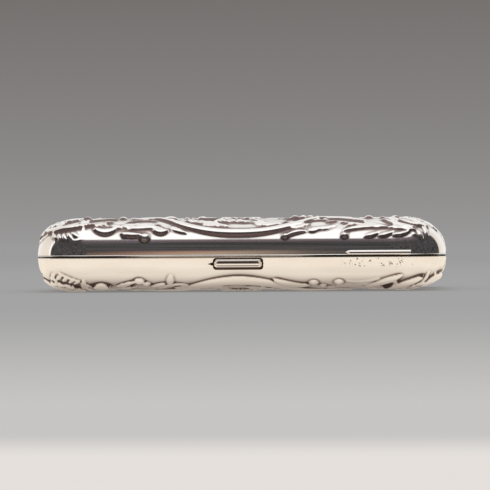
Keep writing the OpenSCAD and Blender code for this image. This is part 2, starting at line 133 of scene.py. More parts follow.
class Net:
    # one node tree, and the only place where nodes are made
    def __init__(self, tree, coordinates="Object", unit=mm):
        self.tree = tree
        tree.nodes.clear()
        self.place = self.add("TexCoord", out=coordinates)
        scaled = self.add("VectorMath", {0: self.place, "Scale": 1 / unit}, {"operation": "SCALE"})
        split = self.add("SeparateXYZ", {0: scaled})
        self.x, self.y, self.z = (Wire(self, out) for out in split.socket.node.outputs)

    def add(self, kind, sockets=None, settings=None, out=0):
        node = self.tree.nodes.new("ShaderNode" + kind)
        for key, value in (settings or {}).items():
            setattr(node, key, value)
        for key, value in (sockets or {}).items():
            socket = node.inputs[key]
            if isinstance(value, Wire):
                self.tree.links.new(value.socket, socket)
            else:
                socket.default_value = (*value, 1) if socket.type == "RGBA" else value
        return Wire(self, node.outputs[out] if node.outputs else None)

    def maths(self, kind, *values):
        return self.add("Math", dict(enumerate(values)), {"operation": kind})

    def blend(self, share, a, b):
        return self.add("Mix", {0: share, 6: a, 7: b}, {"data_type": "RGBA", "clamp_factor": True}, 2)

    def noise(self, scale, detail):
        # scale is one number or one for each axis
        vector = self.place
        if isinstance(scale, tuple):
            vector, scale = self.add("Mapping", {"Vector": vector, "Scale": scale}), 1
        return self.add("TexNoise", {"Vector": vector, "Scale": scale, "Detail": detail})

    def cells(self, scale):
        return self.add("TexVoronoi", {"Vector": self.place, "Scale": scale})

    def stored(self, name):
        return self.add("Attribute", {}, {"attribute_name": name}, "Fac")

    def bump(self, height, strength, depth, normal=None):
        sockets = {"Height": height, "Strength": strength, "Distance": depth * mm}
        return self.add("Bump", sockets | {"Normal": normal} if normal else sockets)

    def awayFrom(self, halfX, halfY):
        # how far a point lies out from a rectangle about the middle, seen from above
        outX, outY = (self.maths("MAXIMUM", self.maths("ABSOLUTE", way) - half, 0)
                      for way, half in ((self.x, halfX), (self.y, halfY)))
        return (outX * outX + outY * outY) ** 0.5

    def glow(self, color, strength):
        return self.add("Emission", {"Color": color, "Strength": strength})

    def ray(self, kind):
        return self.add("LightPath", out=f"Is {kind} Ray")

    def mixed(self, share, a, b):
        return self.add("MixShader", {0: share, 1: a, 2: b})


def finish(name, build):
    # a material; build(net) gives its shader, or the sockets of a Principled one
    material = bpy.data.materials.new(name)
    material.use_nodes = True
    net = Net(material.node_tree)
    shader = build(net)
    if isinstance(shader, dict):
        shader = net.add("BsdfPrincipled", shader)
    net.add("OutputMaterial", {"Surface": shader})
    return material


def surface(tone, rough, normal=None, metallic=1.0):
    sockets = {"Base Color": tone, "Metallic": metallic, "Roughness": rough}
    return sockets | {"Normal": normal} if normal else sockets


def silverFinish(net):
    x, y, z = net.x, net.y, net.z
    # the stored values hold tarnish in the hollows, and painted shade round the forms and on their flanks
    recess, ground, cloud = net.stored("recess"), net.stored("ground"), net.noise(90, 4)
    settledAndShaded = recess * (0.75 + cloud * 0.5)
    stainAndShade, sootAndShade = settledAndShaded.between(0.04, 0.50), settledAndShaded.between(0.30, 0.80)
    rubbed = net.noise((60, 300, 300), 3).between(0.35, 0.7)
    tone = net.blend(rubbed, (0.96, 0.945, 0.925), (0.92, 0.89, 0.85))
    # the flats between the relief are matted and a little duller
    flats = z.between(17.2, 18.0) + (1 - z.between(1.0, 1.8))
    tone = net.blend(ground * flats * (0.45 + cloud * 0.3), tone, (0.60, 0.57, 0.54))
    # pits near the right end of the base's front
    pitted = z.band(5.8, 6.8, 8.4, 8.8) * (1 - y.between(-37, -36)) * x.band(24, 30, 42, 46)
    pits = (1 - net.cells(1500).between(0.24, 0.40)) * net.noise(420, 2).between(0.41, 0.53) * pitted
    tone = net.blend(pits * 0.9, tone, (0.16, 0.09, 0.03))
    # tarnish and painted shade in the relief: brown where it is thin, dark where it is thick, and darker on
    # the base
    tone = net.blend(stainAndShade * 0.92, tone, (0.21, 0.140, 0.120))
    thick = net.blend(z.between(8.8, 9.2), (0.070, 0.036, 0.033), (0.18, 0.122, 0.115))
    tone = net.blend(sootAndShade * 0.92, tone, thick)
    scratches = net.bump(net.noise((900, 14000, 14000), 2), 0.05, 0.02)
    matting = net.bump(net.cells(3600) * ground, 0.5, 0.06, scratches)
    rough = 0.070 + cloud * 0.04 + recess * 0.20 + ground * 0.12 + sootAndShade * 0.2
    return surface(tone, rough, matting, 1 - sootAndShade * 0.5)


def giltFinish(net, grimeAndShade=None, grimeAndShadeTone=None):
    cloud = net.noise(120, 4)
    tone = net.blend(cloud.between(0.3, 0.7), (0.90, 0.66, 0.33), (0.84, 0.58, 0.27))
    # painted shade, where it is asked for
    if grimeAndShade:
        tone = net.blend(grimeAndShade(net.z) * 0.95, tone, grimeAndShadeTone)
    return surface(tone, 0.2 + cloud * 0.12, net.bump(net.noise((500, 7000, 7000), 2), 0.08, 0.02))


def brightFinish(net, seamGrimeAndShade=False):
    cloud = net.noise(150, 4)
    tone = net.blend(cloud.between(0.3, 0.75), (0.96, 0.945, 0.92), (0.91, 0.88, 0.84))
    rough = 0.08 + cloud * 0.07
    if seamGrimeAndShade:
        # dirt and painted shade on both lips of the seam, mostly left off near the button
        lip = case["cornerRadius"] - 0.5
        grimeAndShade = net.z.band(8.62, 8.78, 9.14, 9.24) * net.awayFrom(coreX, coreY).between(lip, lip + 0.2)
        grimeAndShade = grimeAndShade * (1 - net.x.band(-32, -22, 13, 21) * (1 - net.y.between(-35, -30)) * 0.85)
        tone = net.blend(grimeAndShade, tone, (0.020, 0.014, 0.012))
        rough = rough + grimeAndShade * 0.4
    return surface(tone, rough, net.bump(net.noise((900, 12000, 12000), 2), 0.06, 0.02))


def cloudy(scale, thin, thick, metallic, rough, spread):
    # a plain metal that varies a little
    def build(net):
        cloud = net.noise(scale, 3)
        return surface(net.blend(cloud, thin, thick), rough + cloud * spread, None, metallic)
    return build


def silkFinish(net, pale, deep, moire=1.0, thread=0.22):
    # a fine plain weave, with the watered bands of moire where it is asked for
    weave = net.x.waves(thread) * 0.5 + net.y.waves(thread) * 0.5
    watered = net.noise((70, 260, 70), 3).between(0.36, 0.62)
    bands = (net.y * 2.7 + net.noise((60, 22, 30), 3) * 62).waves().between(-0.7, 1.0)
    bands = bands * (0.35 + watered * 0.65)
    slub = net.noise((400, 5200, 900), 3)
    tone = net.blend(bands * (0.50 * moire) + net.noise(60, 4) * 0.45 + slub * 0.25, deep, pale)
    rough = 0.62 - bands * (0.18 * moire) + slub * 0.12
    silk = surface(tone, rough, net.bump(weave * 0.6 + slub, 0.35, 0.05), 0.0)
    return silk | {"Sheen Weight": 0.35, "Sheen Roughness": 0.35}


def ribbonFinish(net, rib=0.55):
    # grosgrain: ribs across the ribbon
    ribs, worn = net.y.waves(rib), net.noise((2600, 300, 300), 3)
    tone = net.blend(ribs * 0.22 + net.noise(140, 4) * 0.7 + 0.1, (0.36, 0.26, 0.15), (0.66, 0.53, 0.35))
    woven = surface(tone, 0.55 + worn * 0.2, net.bump(ribs + worn * 0.4, 0.5, 0.10), 0.0)
    return woven | {"Sheen Weight": 0.3}


def leatherFinish(net):
    # fine-grained calf, rubbed paler in places
    pebble, fine, cloud = net.cells(1500), net.cells(3400), net.noise(45, 5)
    tone = net.blend(cloud.between(0.3, 0.75), (0.23, 0.085, 0.045), (0.40, 0.175, 0.095))
    tone = net.blend(pebble.between(0.35, 0.75) * 0.4, tone, (0.13, 0.045, 0.025))
    tone = net.blend(net.noise(160, 4).between(0.45, 0.75) * 0.3, tone, (0.50, 0.27, 0.16))
    grain = net.bump((1 - pebble) + (1 - fine) * 0.35, 0.4, 0.10)
    return surface(tone, 0.46 + cloud * 0.12 + pebble * 0.12, grain, 0.0)


def threadFinish(net, turn=0.30):
    twist, cloud = (net.x + net.z * 2).waves(turn), net.noise(500, 3)
    tone = net.blend(twist * 0.3 + cloud, (0.62, 0.50, 0.34), (0.84, 0.74, 0.56))
    return surface(tone, 0.6 + cloud * 0.2, net.bump(twist, 0.4, 0.04), 0.0)


silver = finish("chasedSilver", silverFinish)
gilt = finish("gilt", giltFinish)
# painted shade darkens the catch plate as far up as the slot shows it, and the bezel at its foot
plateShadedGilt = finish("plateShadedGilt", lambda net: giltFinish(
    net, lambda z: 1 - z.between(8.7, 9.3), (0.030, 0.018, 0.010)))
bezelShadedGilt = finish("bezelShadedGilt", lambda net: giltFinish(
    net, lambda z: z.band(8.4, 8.7, 9.2, 9.4), (0.035, 0.022, 0.012)))
bright = finish("brightSilver", brightFinish)
rimSilver = finish("rimSilver", lambda net: brightFinish(net, seamGrimeAndShade=True))
steel = finish("steel", cloudy(900, (0.46, 0.47, 0.49), (0.60, 0.60, 0.60), 1.0, 0.28, 0.15))
brass = finish("brass", cloudy(900, (0.80, 0.60, 0.28), (0.66, 0.46, 0.19), 1.0, 0.25, 0.2))
# painted shade: the cut edges of the sheet are near black, so that the slot and the gaps look dark
shadedEdges = finish("shadedSheetEdge", cloudy(700, (0.03, 0.02, 0.016), (0.07, 0.045, 0.032), 0.6, 0.45, 0.25))
liningSilk = finish("liningSilk", lambda net: silkFinish(
    net, (0.83, 0.75, 0.61), (0.66, 0.56, 0.41), moire=0.15))
padSilk = finish("moireSilk", lambda net: silkFinish(net, (0.90, 0.83, 0.70), (0.70, 0.60, 0.45)))
ribbonSilk = finish("ribbonSilk", ribbonFinish)
leather = finish("pocketLeather", leatherFinish)
thread = finish("silkThread", threadFinish)


def lengthAlong(x, y):
    return np.concatenate([[0], np.cumsum(np.hypot(np.diff(x), np.diff(y)))])


for half in (lidHalf, baseHalf):
    # the section of the rounded edge, and how far along the sheet each of its points comes
    turn, power = np.linspace(0, 1, 2001) * (math.pi / 2), 2 / case["fullness"]
    half["x"] = case["edgeRun"] * np.sin(turn) ** power
    half["z"] = half["rise"] * np.maximum(np.cos(turn), 0) ** power
    half["s"] = lengthAlong(half["x"], half["z"])


def profileAt(half, far):
    # radius from the core and height above the seam, at a distance along the sheet
    s = np.maximum(far - flatRadius, 0)
    radius = np.minimum(far, flatRadius) + np.interp(s, half["s"], half["x"])
    return radius, np.interp(s, half["s"], half["z"])


def fromPhoto(half, x, h, rounds=40):
    # the rolled-out place of points that show at x, h on the photograph, h measured away from the seam
    right = photo["buttonMiddle"] + np.asarray(x, float) / photo["scale"] - view["pixels"] / 2
    up = half["up"] * np.asarray(h, float) / photo["scale"] - photo["eyeOverSeam"]
    spread = view["film"] / view["lens"] / view["pixels"]
    sin, cos = math.sin(math.radians(view["azimuth"])), math.cos(math.radians(view["azimuth"]))
    found, depth = np.asarray(x, float), np.zeros_like(right)
    for _ in range(rounds):
        along = view["away"] + depth * cos - (found - view["across"]) * sin
        found = view["across"] + (right * spread * along - depth * sin) / cos
        rise = half["up"] * (view["height"] + up * spread * along - case["seam"])
        far = flatRadius + np.interp(-rise, -half["z"], half["s"])
        radius = profileAt(half, far)[0]
        over = np.clip(np.abs(found) - coreX, 0, radius * 0.999)
        depth = depth * 0.5 + (case["cornerRadius"] - np.sqrt(radius ** 2 - over ** 2)) * 0.5
    across = over / radius
    u = np.sign(found) * (np.minimum(np.abs(found), coreX) + far * across)
    return u, -(coreY + far * np.sqrt(1 - across ** 2))


class Chasing:
    # the relief as a map of heights on the rolled-out sheet
    def __init__(self, cell=0.12, halfU=60.0, halfV=46.0):
        self.cell = cell
        self.u = np.arange(-halfU, halfU + cell, cell)
        self.v = np.arange(-halfV, halfV + cell, cell)
        self.height = np.zeros((len(self.v), len(self.u)))
        self.flip = (1, 1)

    def window(self, u, v, reach):
        i0, i1 = np.searchsorted(self.u, [np.min(u) - reach, np.max(u) + reach])
        j0, j1 = np.searchsorted(self.v, [np.min(v) - reach, np.max(v) + reach])
        return (slice(j0, j1), slice(i0, i1)), *np.meshgrid(self.u[i0:i1], self.v[j0:j1])

    def raised(self, area, height, soft=0.10):
        # a smooth maximum, so that a form grows out of what lies under it
        old = self.height[area]
        mix = np.clip(0.5 + 0.5 * (height - old) / soft, 0, 1)
        grown = old * (1 - mix) + height * mix + soft * mix * (1 - mix)
        self.height[area] = np.where(height > 0, grown, old)

    def boss(self, u, v, radius, height, hollow=False):
        u, v = u * self.flip[0], v * self.flip[1]
        area, gu, gv = self.window(u, v, radius)
        r = np.hypot(gu - u, gv - v) / radius
        form = np.sqrt(np.clip(1 - r ** 2, 0, 1))
        if hollow:
            form = np.sqrt(np.clip(1 - ((r - 0.64) / 0.36) ** 2, 0, 1)) + 0.18 * (r < 0.6)
        self.raised(area, height * form)

    def fan(self, u, v, heading, spread, inner, outer, ribs, height):
        # a shell: flutes that spread from one point, with a scalloped edge
        fu, fv = self.flip
        area, gu, gv = self.window(u * fu, v * fv, outer)
        du, dv = (gu - u * fu) * fu, (gv - v * fv) * fv
        share = ((np.degrees(np.arctan2(dv, du)) - heading + 180) % 360 - 180) / spread + 0.5
        flute = np.sqrt(np.clip(1 - np.cos(math.pi * ribs * share) ** 2, 0, 1))
        along = (np.hypot(du, dv) - inner) / (outer * (0.90 + 0.10 * flute) - inner)
        inside = (share > 0) & (share < 1) & (along > 0) & (along < 1)
        ends = np.clip(np.minimum(along / 0.3, (1 - along) / 0.12), 0, 1) ** 0.6
        form = height * (0.45 + 0.55 * flute) * ends
        self.raised(area, np.where(inside, form, 0))

    def oval(self, a, b, halfWidth, height, p=2):
        # a moulding that follows an ellipse about the middle, or a squarer form where p is more than 2
        gu, gv = np.abs(np.meshgrid(self.u, self.v))
        f = ((gu / a) ** p + (gv / b) ** p) ** (1 / p) + 1e-9
        steep = np.hypot((gu / a) ** (p - 1) / a, (gv / b) ** (p - 1) / b) * f ** (1 - p) + 1e-9
        d = (f - 1) / steep / halfWidth
        self.raised((slice(None), slice(None)), height * np.sqrt(np.clip(1 - np.abs(d) ** 2.6, 0, 1)))

    def stroke(self, kind, u, v, heading, length, bends, halfWidth, height):
        # an arc whose bend is given in degrees at its start, middle and end
        n = max(24, int(length / 0.18))
        f = np.linspace(0, 1, n)
        first, middle, last = bends
        early, late = np.clip(1 - 2 * f, 0, 1) ** 3, np.clip(2 * f - 1, 0, 1) ** 3
        bend = middle + (first - middle) * early + (last - middle) * late
        turn = np.radians(heading + np.concatenate([[0], np.cumsum((bend[1:] + bend[:-1]) / 2 * np.diff(f))]))
        step = length / (n - 1)
        pu = u + np.concatenate([[0], np.cumsum(np.cos(turn)[:-1])]) * step
        pv = v + np.concatenate([[0], np.cumsum(np.sin(turn)[:-1])]) * step
        self.trace(kind, pu, pv, halfWidth, height)
        for end, bent in ((0, first), (-1, last)):
            if kind == "scroll" and abs(bent) > 300:
                self.boss(pu[end], pv[end], halfWidth * 1.15, height * 1.05, hollow=True)

    def trace(self, kind, pu, pv, halfWidth, height):
        # a raised form along a line of points, whose outline and section go by its kind
        fu, fv = self.flip
        pu, pv = pu * fu, pv * fv
        tu, tv = np.gradient(pu), np.gradient(pv)
        f = lengthAlong(pu, pv)
        length = f[-1]
        f /= length
        outlines = {
            "leaf": (0.12, 0.72, 0.8), "scroll": (0.62, 1, 1), "bud": (0.2, 1.1, 0.6), "rib": (0.3, 1, 0.7),
        }
        least, skew, power = outlines[kind]
        width = halfWidth * (least + (1 - least) * np.sin(math.pi * f ** skew).clip(0) ** power)
        area, gu, gv = self.window(pu, pv, halfWidth * 1.2)
        squared = (gu[..., None] - pu) ** 2 + (gv[..., None] - pv) ** 2
        k = squared.argmin(-1)
        near = np.sqrt(np.take_along_axis(squared, k[..., None], -1)[..., 0])
        side = np.sign(tu[k] * (gv - pv[k]) - tv[k] * (gu - pu[k])) * fu * fv
        along, w = f[k], width[k]
        if kind == "leaf":
            lobes = max(3, round(length / 2.4))
            w = w * (0.80 + 0.24 * ((along * lobes + 0.25 * side) % 1))
        q = near / w
        form = np.sqrt(np.clip(1 - q ** 2, 0, 1))
        if kind == "leaf":
            midrib = 1 - 0.42 * np.exp(-((q / 0.15) ** 2))
            wave = np.cos(2 * math.pi * (along * lobes - 0.75 * q + 0.25 * side))
            vein = 1 - 0.34 * (0.5 + 0.5 * wave) ** 4
            form = form ** 0.8 * midrib * vein
        elif kind == "scroll":
            lip = np.clip((q - 0.30) / 0.35, 0, 1)
            form = np.clip((1 - q) / 0.25, 0, 1) ** 0.5 * (0.50 + 0.50 * lip * lip * (3 - 2 * lip))
        self.raised(area, np.where(q < 1, height * form, 0))

    def seen(self, half, kind, x1, h1, x2, h2, bend, halfWidth, height):
        # an arc between two points of the photograph
        lean = math.radians(bend) / 2
        turn = math.atan2(h2 - h1, x2 - x1) - lean + np.linspace(0, 2 * lean, 40)
        x, h = np.cumsum(np.cos(turn)), np.cumsum(np.sin(turn))
        size = math.hypot(x2 - x1, h2 - h1) / math.hypot(x[-1] - x[0], h[-1] - h[0])
        self.trace(kind, *fromPhoto(half, x1 + (x - x[0]) * size, h1 + (h - h[0]) * size), halfWidth, height)

    def softened(self, radius):
        # a box blur, three times over, which is close to a Gaussian one
        span, field = max(1, int(round(radius / self.cell))), self.height
        wide = 2 * span + 1
        for axis in (0, 1, 0, 1, 0, 1):
            total = np.cumsum(np.pad(np.moveaxis(field, axis, -1), ((0, 0), (span + 1, span))), axis=-1)
            field = np.moveaxis((total[:, wide:] - total[:, :-wide]) / wide, -1, axis)
        return field

    def sample(self, field, u, v):
        i = np.clip((u - self.u[0]) / self.cell, 0, len(self.u) - 1.001)
        j = np.clip((v - self.v[0]) / self.cell, 0, len(self.v) - 1.001)
        i0, j0 = i.astype(int), j.astype(int)
        a, b = i - i0, j - j0
        top, low = (field[row, i0] * (1 - a) + field[row, i0 + 1] * a for row in (j0, j0 + 1))
        return top * (1 - b) + low * b


# One quarter of the flat. Strokes: kind, u, v, heading, length, bends, half width, height. Bosses: u, v,
# radius, height. The fan and the middle shells: u, v, heading, spread, inner, outer, ribs, height.
quarter = {
    "strokes": [
        ("scroll", 32, 3, 62, 21, (620, -95, 560), 1.25, 0.6),
        ("leaf", 34.5, 9, 18, 13, (20, 40, 60), 1.6, 0.55),
        ("leaf", 34, 14, 38, 14, (-10, 30, 60), 1.7, 0.58),
        ("leaf", 32.5, 19.5, 52, 12, (-20, 20, 60), 1.6, 0.55),
        ("scroll", 40, 10.5, 20, 15, (-560, 70, 620), 1, 0.55),
        ("leaf", 44.5, 22, 20, 11, (-20, -30, -30), 1.4, 0.5),
        ("leaf", 42, 25, 48, 11, (0, 10, 20), 1.5, 0.55),
        ("leaf", 38.5, 26, 75, 10, (10, 20, 30), 1.4, 0.5),
        ("scroll", 45, 3.5, 55, 12, (-500, 60, -500), 0.9, 0.5),
        ("scroll", 13.5, 2.5, 96, 20, (-640, 85, -560), 1.15, 0.58),
        ("leaf", 16, 5, 12, 9, (30, 60, 60), 1.3, 0.5),
        ("leaf", 16, 11, 34, 9.5, (20, 50, 60), 1.4, 0.52),
        ("leaf", 12.5, 17.5, 52, 10.5, (20, 40, 50), 1.5, 0.52),
        ("leaf", 6.5, 21.5, 66, 10, (-20, -40, -40), 1.4, 0.52),
        ("scroll", 3, 25, 118, 9, (-300, -60, 560), 0.8, 0.5),
        ("rib", 22, 24, 62, 8, (-40, -60, -80), 0.7, 0.42),
        ("bud", 24.8, 30.5, 10, 5, (0, 20, 40), 1.1, 0.55),
        ("leaf", 30.5, 27, 70, 9, (-40, -60, -60), 1.4, 0.5),
    ],
    "bosses": [
        (31, 4, 1.1, 0.55), (35.5, 5.5, 0.8, 0.45), (17, 30.7, 1.7, 0.7), (20.4, 29, 0.8, 0.45),
        (37.3, 29, 1.2, 0.6), (12, 1, 0.8, 0.45), (9.5, 19.8, 0.9, 0.5), (49.5, 8, 0.8, 0.4),
    ],
    "fan": (41.5, 19, 52, 70, 1.2, 6, 5, 0.62),
}
# shells on the two middle lines
middleShells = [
    (39.5, 0, 0, 150, 1.3, 6.8, 7, 0.66), (0, 22.5, 90, 150, 1, 6, 7, 0.62),
]

# the plain oval in the middle: its half sizes
reserve = (10.5, 14.5)

# The fronts, as they show in the photograph. Strokes: kind, x and height above the seam of both ends, bend,
# half width, height. Bosses: x, height above the seam, radius, height of the form.
lidFront = [
    ("rib", -49.9, 6.3, -37, 8.1, -8, 1.25, 0.75), ("leaf", -49.2, 7.3, -40.8, 9.3, -14, 2.1, 0.72),
    ("bud", -51.6, 4.6, -48.6, 7.8, -12, 1.8, 0.8), ("bud", -46.8, 8.6, -39.8, 9.6, -8, 1.5, 0.55),
    ("bud", -47.4, 5.9, -46.7, 4.6, 20, 0.5, 0.4), ("bud", -46.2, 5.9, -45.5, 4.4, 20, 0.55, 0.42),
    ("bud", -45, 6, -44.2, 4.3, 20, 0.55, 0.42), ("bud", -43.8, 6.2, -42.6, 4.6, 25, 0.55, 0.4),
    ("bud", -42.7, 6.4, -41.2, 5.2, 25, 0.5, 0.36), ("rib", -43.6, 4.6, -40.2, 4.7, 60, 0.35, 0.22),
    ("leaf", -50.9, 3.9, -48.4, 6, -15, 0.75, 0.4), ("rib", -37.8, 9.05, -31, 9.35, -14, 1.1, 0.5),
    ("leaf", -36.8, 7.75, -33.5, 7.9, -60, 1, 0.45), ("bud", -36.9, 7.3, -31.4, 7.2, 70, 1.2, 0.62),
    ("bud", -32.4, 7.9, -29.9, 7.3, 0, 1, 0.55), ("leaf", -29.9, 7.8, -22, 8.3, 10, 1.5, 0.52),
    ("rib", -30, 6, -25, 5.6, 14, 0.85, 0.5), ("rib", -28, 6.9, -19.6, 7.2, -26, 1, 0.5),
    ("bud", -21.6, 6.75, -18.1, 6.65, 40, 1.15, 0.62), ("leaf", -17.2, 7.6, -13, 5.9, 10, 0.85, 0.48),
    ("leaf", -16.9, 6.9, -14.6, 6.3, 10, 0.5, 0.38), ("leaf", -13, 9.2, -6, 8.6, 12, 1.6, 0.5),
    ("leaf", -6, 8.9, 3.2, 8.5, -16, 2, 0.55), ("leaf", -9, 7.9, -2, 7.6, -20, 1.1, 0.45),
    ("leaf", 4, 8.8, 11, 8.3, 30, 1.3, 0.5), ("rib", -9.9, 9.38, -5.1, 9.38, -4, 1.2, 0.62),
    ("rib", 12.6, 5.2, 17.5, 6.3, -34, 0.7, 0.5), ("leaf", 13.6, 7, 19, 8, -20, 1.1, 0.48),
    ("leaf", 18.2, 6.4, 21.4, 7.3, 20, 1, 0.5), ("leaf", 20.8, 6.9, 25.4, 7.9, 20, 0.9, 0.46),
    ("rib", 27.4, 6.4, 35, 7.2, -24, 0.85, 0.5), ("rib", 26.5, 8.4, 36.2, 7, -12, 0.75, 0.46),
    ("rib", 23.6, 9.3, 33, 8.6, -14, 1, 0.5), ("leaf", 32.8, 5, 36.6, 6.1, 22, 0.62, 0.46),
    ("leaf", 36.4, 5.1, 40.2, 6.2, 22, 0.62, 0.46), ("leaf", 40, 5.3, 44.4, 6.3, 22, 0.62, 0.46),
    ("rib", 32.6, 8.5, 38.6, 7.2, 14, 0.95, 0.52), ("rib", 37.2, 9.2, 45.6, 7.1, 10, 0.95, 0.55),
    ("rib", 40.4, 9.3, 48.8, 7.3, 8, 0.95, 0.58), ("leaf", 38.8, 7.2, 46.2, 6.4, -14, 0.9, 0.5),
    ("bud", 46.4, 6.3, 47.6, 4.1, 10, 0.72, 0.5), ("bud", 45, 5.9, 45.8, 5, 10, 0.45, 0.36),
    ("leaf", 48.6, 8.4, 51.6, 5.6, -20, 0.9, 0.52), ("leaf", 47.2, 9, 50.6, 6.6, -20, 0.9, 0.52),
    ("rib", -44.6, 8.6, -39.4, 9.5, -20, 0.45, 0.45), ("rib", -34.6, 8.25, -31.8, 8.65, -40, 0.45, 0.42),
    ("rib", -28.6, 8.7, -20.6, 8.9, -16, 0.5, 0.42), ("rib", -24.8, 7.8, -19.4, 8, -20, 0.45, 0.4),
    ("bud", -16, 8.6, -13.2, 8.3, 20, 0.6, 0.42), ("rib", 12.6, 9.1, 16.2, 9.75, -20, 0.5, 0.6),
    ("rib", 17.4, 8.6, 23.4, 8.9, -16, 0.45, 0.42), ("bud", 22.6, 8.4, 25.6, 8.7, -16, 0.6, 0.45),
    ("rib", 27.6, 7.6, 32.2, 7.9, -20, 0.45, 0.4), ("rib", 42.6, 8.4, 47.4, 8, -14, 0.45, 0.42),
]
lidFrontBosses = [
    (-38.6, 9.4, 1.2, 1), (-24, 5, 1.2, 0.7), (-29.2, 5.5, 0.7, 0.45), (-17.2, 9.3, 2, 1.05),
    (-29.4, 9.7, 1.2, 0.9), (-9, 9.9, 1.4, 0.85), (33.8, 9.9, 1.3, 0.85), (40.5, 9.8, 1.2, 0.8),
    (20.6, 9.5, 0.9, 0.85), (12.2, 5.15, 0.8, 0.6), (27.5, 5.25, 0.85, 0.65), (20.7, 9.15, 0.8, 0.55),
    (22.6, 9.15, 0.8, 0.55), (8.4, 8.1, 0.9, 0.45), (10.6, 8.2, 0.8, 0.45), (-45.8, 9.1, 0.7, 0.55),
    (-42.2, 9.5, 0.8, 0.65), (-35.4, 9.7, 0.8, 0.7), (-33.4, 8.75, 0.7, 0.5), (-26.6, 9.5, 0.8, 0.65),
    (-22.4, 9.6, 0.8, 0.6), (-13, 9.6, 0.8, 0.65), (-3.2, 9.75, 0.9, 0.65), (0.8, 9.3, 0.6, 0.5),
    (4.8, 9.6, 0.8, 0.6), (14.4, 9.7, 0.7, 0.85), (16.9, 9.85, 1, 1.05), (19, 9.6, 0.7, 0.75),
    (26, 9.6, 0.8, 0.65), (30.2, 8.9, 0.6, 0.5), (37.2, 9.5, 0.8, 0.65), (43.8, 9.4, 0.8, 0.65),
    (46.8, 9.1, 0.7, 0.5), (-11.2, 8.62, 0.6, 0.45), (-9.8, 8.45, 0.6, 0.45), (-8.4, 8.32, 0.6, 0.45),
    (-7, 8.25, 0.55, 0.42), (-5.7, 8.2, 0.5, 0.4), (5.6, 8.35, 0.55, 0.42), (7, 8.5, 0.55, 0.42),
    (12.4, 8.65, 0.65, 0.48),
]
baseFront = [
    ("leaf", -50.2, 6.5, -39.2, 8.3, 10, 1.9, 0.95), ("bud", -51.6, 5, -49, 7.4, 10, 1.8, 1),
    ("bud", -49.4, 7.2, -44, 8.9, 10, 1.6, 0.9), ("rib", -46.2, 4, -40.8, 6.2, -16, 0.45, 0.36),
    ("bud", -46.6, 5.7, -45.4, 4.5, 0, 0.5, 0.36), ("bud", -45, 6.2, -43.8, 4.9, 0, 0.55, 0.4),
    ("bud", -43.4, 6.6, -42.2, 5.5, 0, 0.55, 0.42), ("bud", -42.2, 6.9, -40.8, 6, 0, 0.5, 0.4),
    ("leaf", -50.4, 4.4, -48.4, 5.9, 10, 0.45, 0.36), ("leaf", -51.2, 4.6, -49.4, 6.2, 10, 0.45, 0.36),
    ("bud", -48, 5.8, -47.3, 4.2, 0, 0.5, 0.34), ("rib", -40.6, 6.6, -36.8, 7.9, 6, 0.55, 0.4),
    ("bud", -37.4, 7.3, -33.1, 7.3, -10, 1.9, 0.9), ("leaf", -31.2, 7.5, -26.4, 6.2, -14, 1.1, 0.55),
    ("leaf", -30.6, 7.9, -26, 7.5, -6, 1.3, 0.5), ("bud", -22.4, 7.4, -18.9, 6.8, -20, 0.95, 0.52),
    ("bud", -17.6, 7.5, -17.3, 4.7, 0, 0.95, 0.32), ("leaf", -20.6, 7.9, -13.4, 7, 16, 1, 0.5),
    ("leaf", -16.2, 7.9, -12.8, 7.1, -10, 0.9, 0.5), ("bud", 9.4, 5.9, 18.3, 7.3, -34, 1.55, 0.58),
    ("rib", 28, 6.5, 36.4, 5.9, -30, 0.7, 0.16), ("rib", 30, 7.3, 38, 6.4, -20, 0.8, 0.2),
    ("rib", 33, 7.7, 42, 5.2, -16, 1.4, 0.5), ("bud", 37.6, 7.9, 47.4, 5.4, -30, 1.7, 0.85),
    ("leaf", 40.5, 8.2, 50.4, 6.3, -10, 1.8, 0.95), ("bud", 47, 7.4, 52, 5, 6, 1.8, 1),
    ("bud", 43, 8.4, 48.6, 7.2, 6, 1.5, 0.7), ("bud", 48.8, 5.6, 49.3, 4, 0, 0.42, 0.3),
    ("bud", 50.3, 5.6, 50.9, 4.2, 0, 0.5, 0.3), ("leaf", -12, 8, -2, 7.7, 10, 1.6, 0.45),
    ("leaf", 2, 7.7, 10, 8, -10, 1.6, 0.45),
]
baseFrontBosses = [
    (-25.4, 6.3, 1.35, 0.62), (-23.6, 6.9, 1.1, 0.55), (19.5, 6.8, 1.25, 0.58), (21.9, 7.5, 0.9, 0.5),
    (26, 6.7, 1.25, 0.58), (-38.6, 7.9, 0.9, 0.5), (24, 7.8, 0.9, 0.45),
]


def chase(half, strokes, bosses, frameLine):
    work = Chasing()
    for fu in (1, -1):
        for fv in (1, -1):
            work.flip = (fu, fv)
            # the front has strokes and bosses of its own near the edge
            for item in quarter["strokes"]:
                if fv > 0 or abs(item[2]) <= 26.5 or abs(item[1]) >= 45:
                    work.stroke(*item[:-1], item[-1] * 0.82)
            for item in quarter["bosses"]:
                if fv > 0 or item[1] <= 28:
                    work.boss(*item)
            work.fan(*quarter["fan"])
        for item in middleShells:
            work.flip = (fu, fu)
            work.fan(*item)
    # what the front shows, and the same turned round on the hinge side
    for turned in (1, -1):
        work.flip = (turned, turned)
        for item in strokes:
            work.seen(half, *item)
        for x, h, radius, height in bosses:
            work.boss(*fromPhoto(half, x, h), radius, height)
    work.flip = (1, 1)
    work.oval(*frameLine)
    work.oval(*reserve, 0.6, 0.34)
    return work


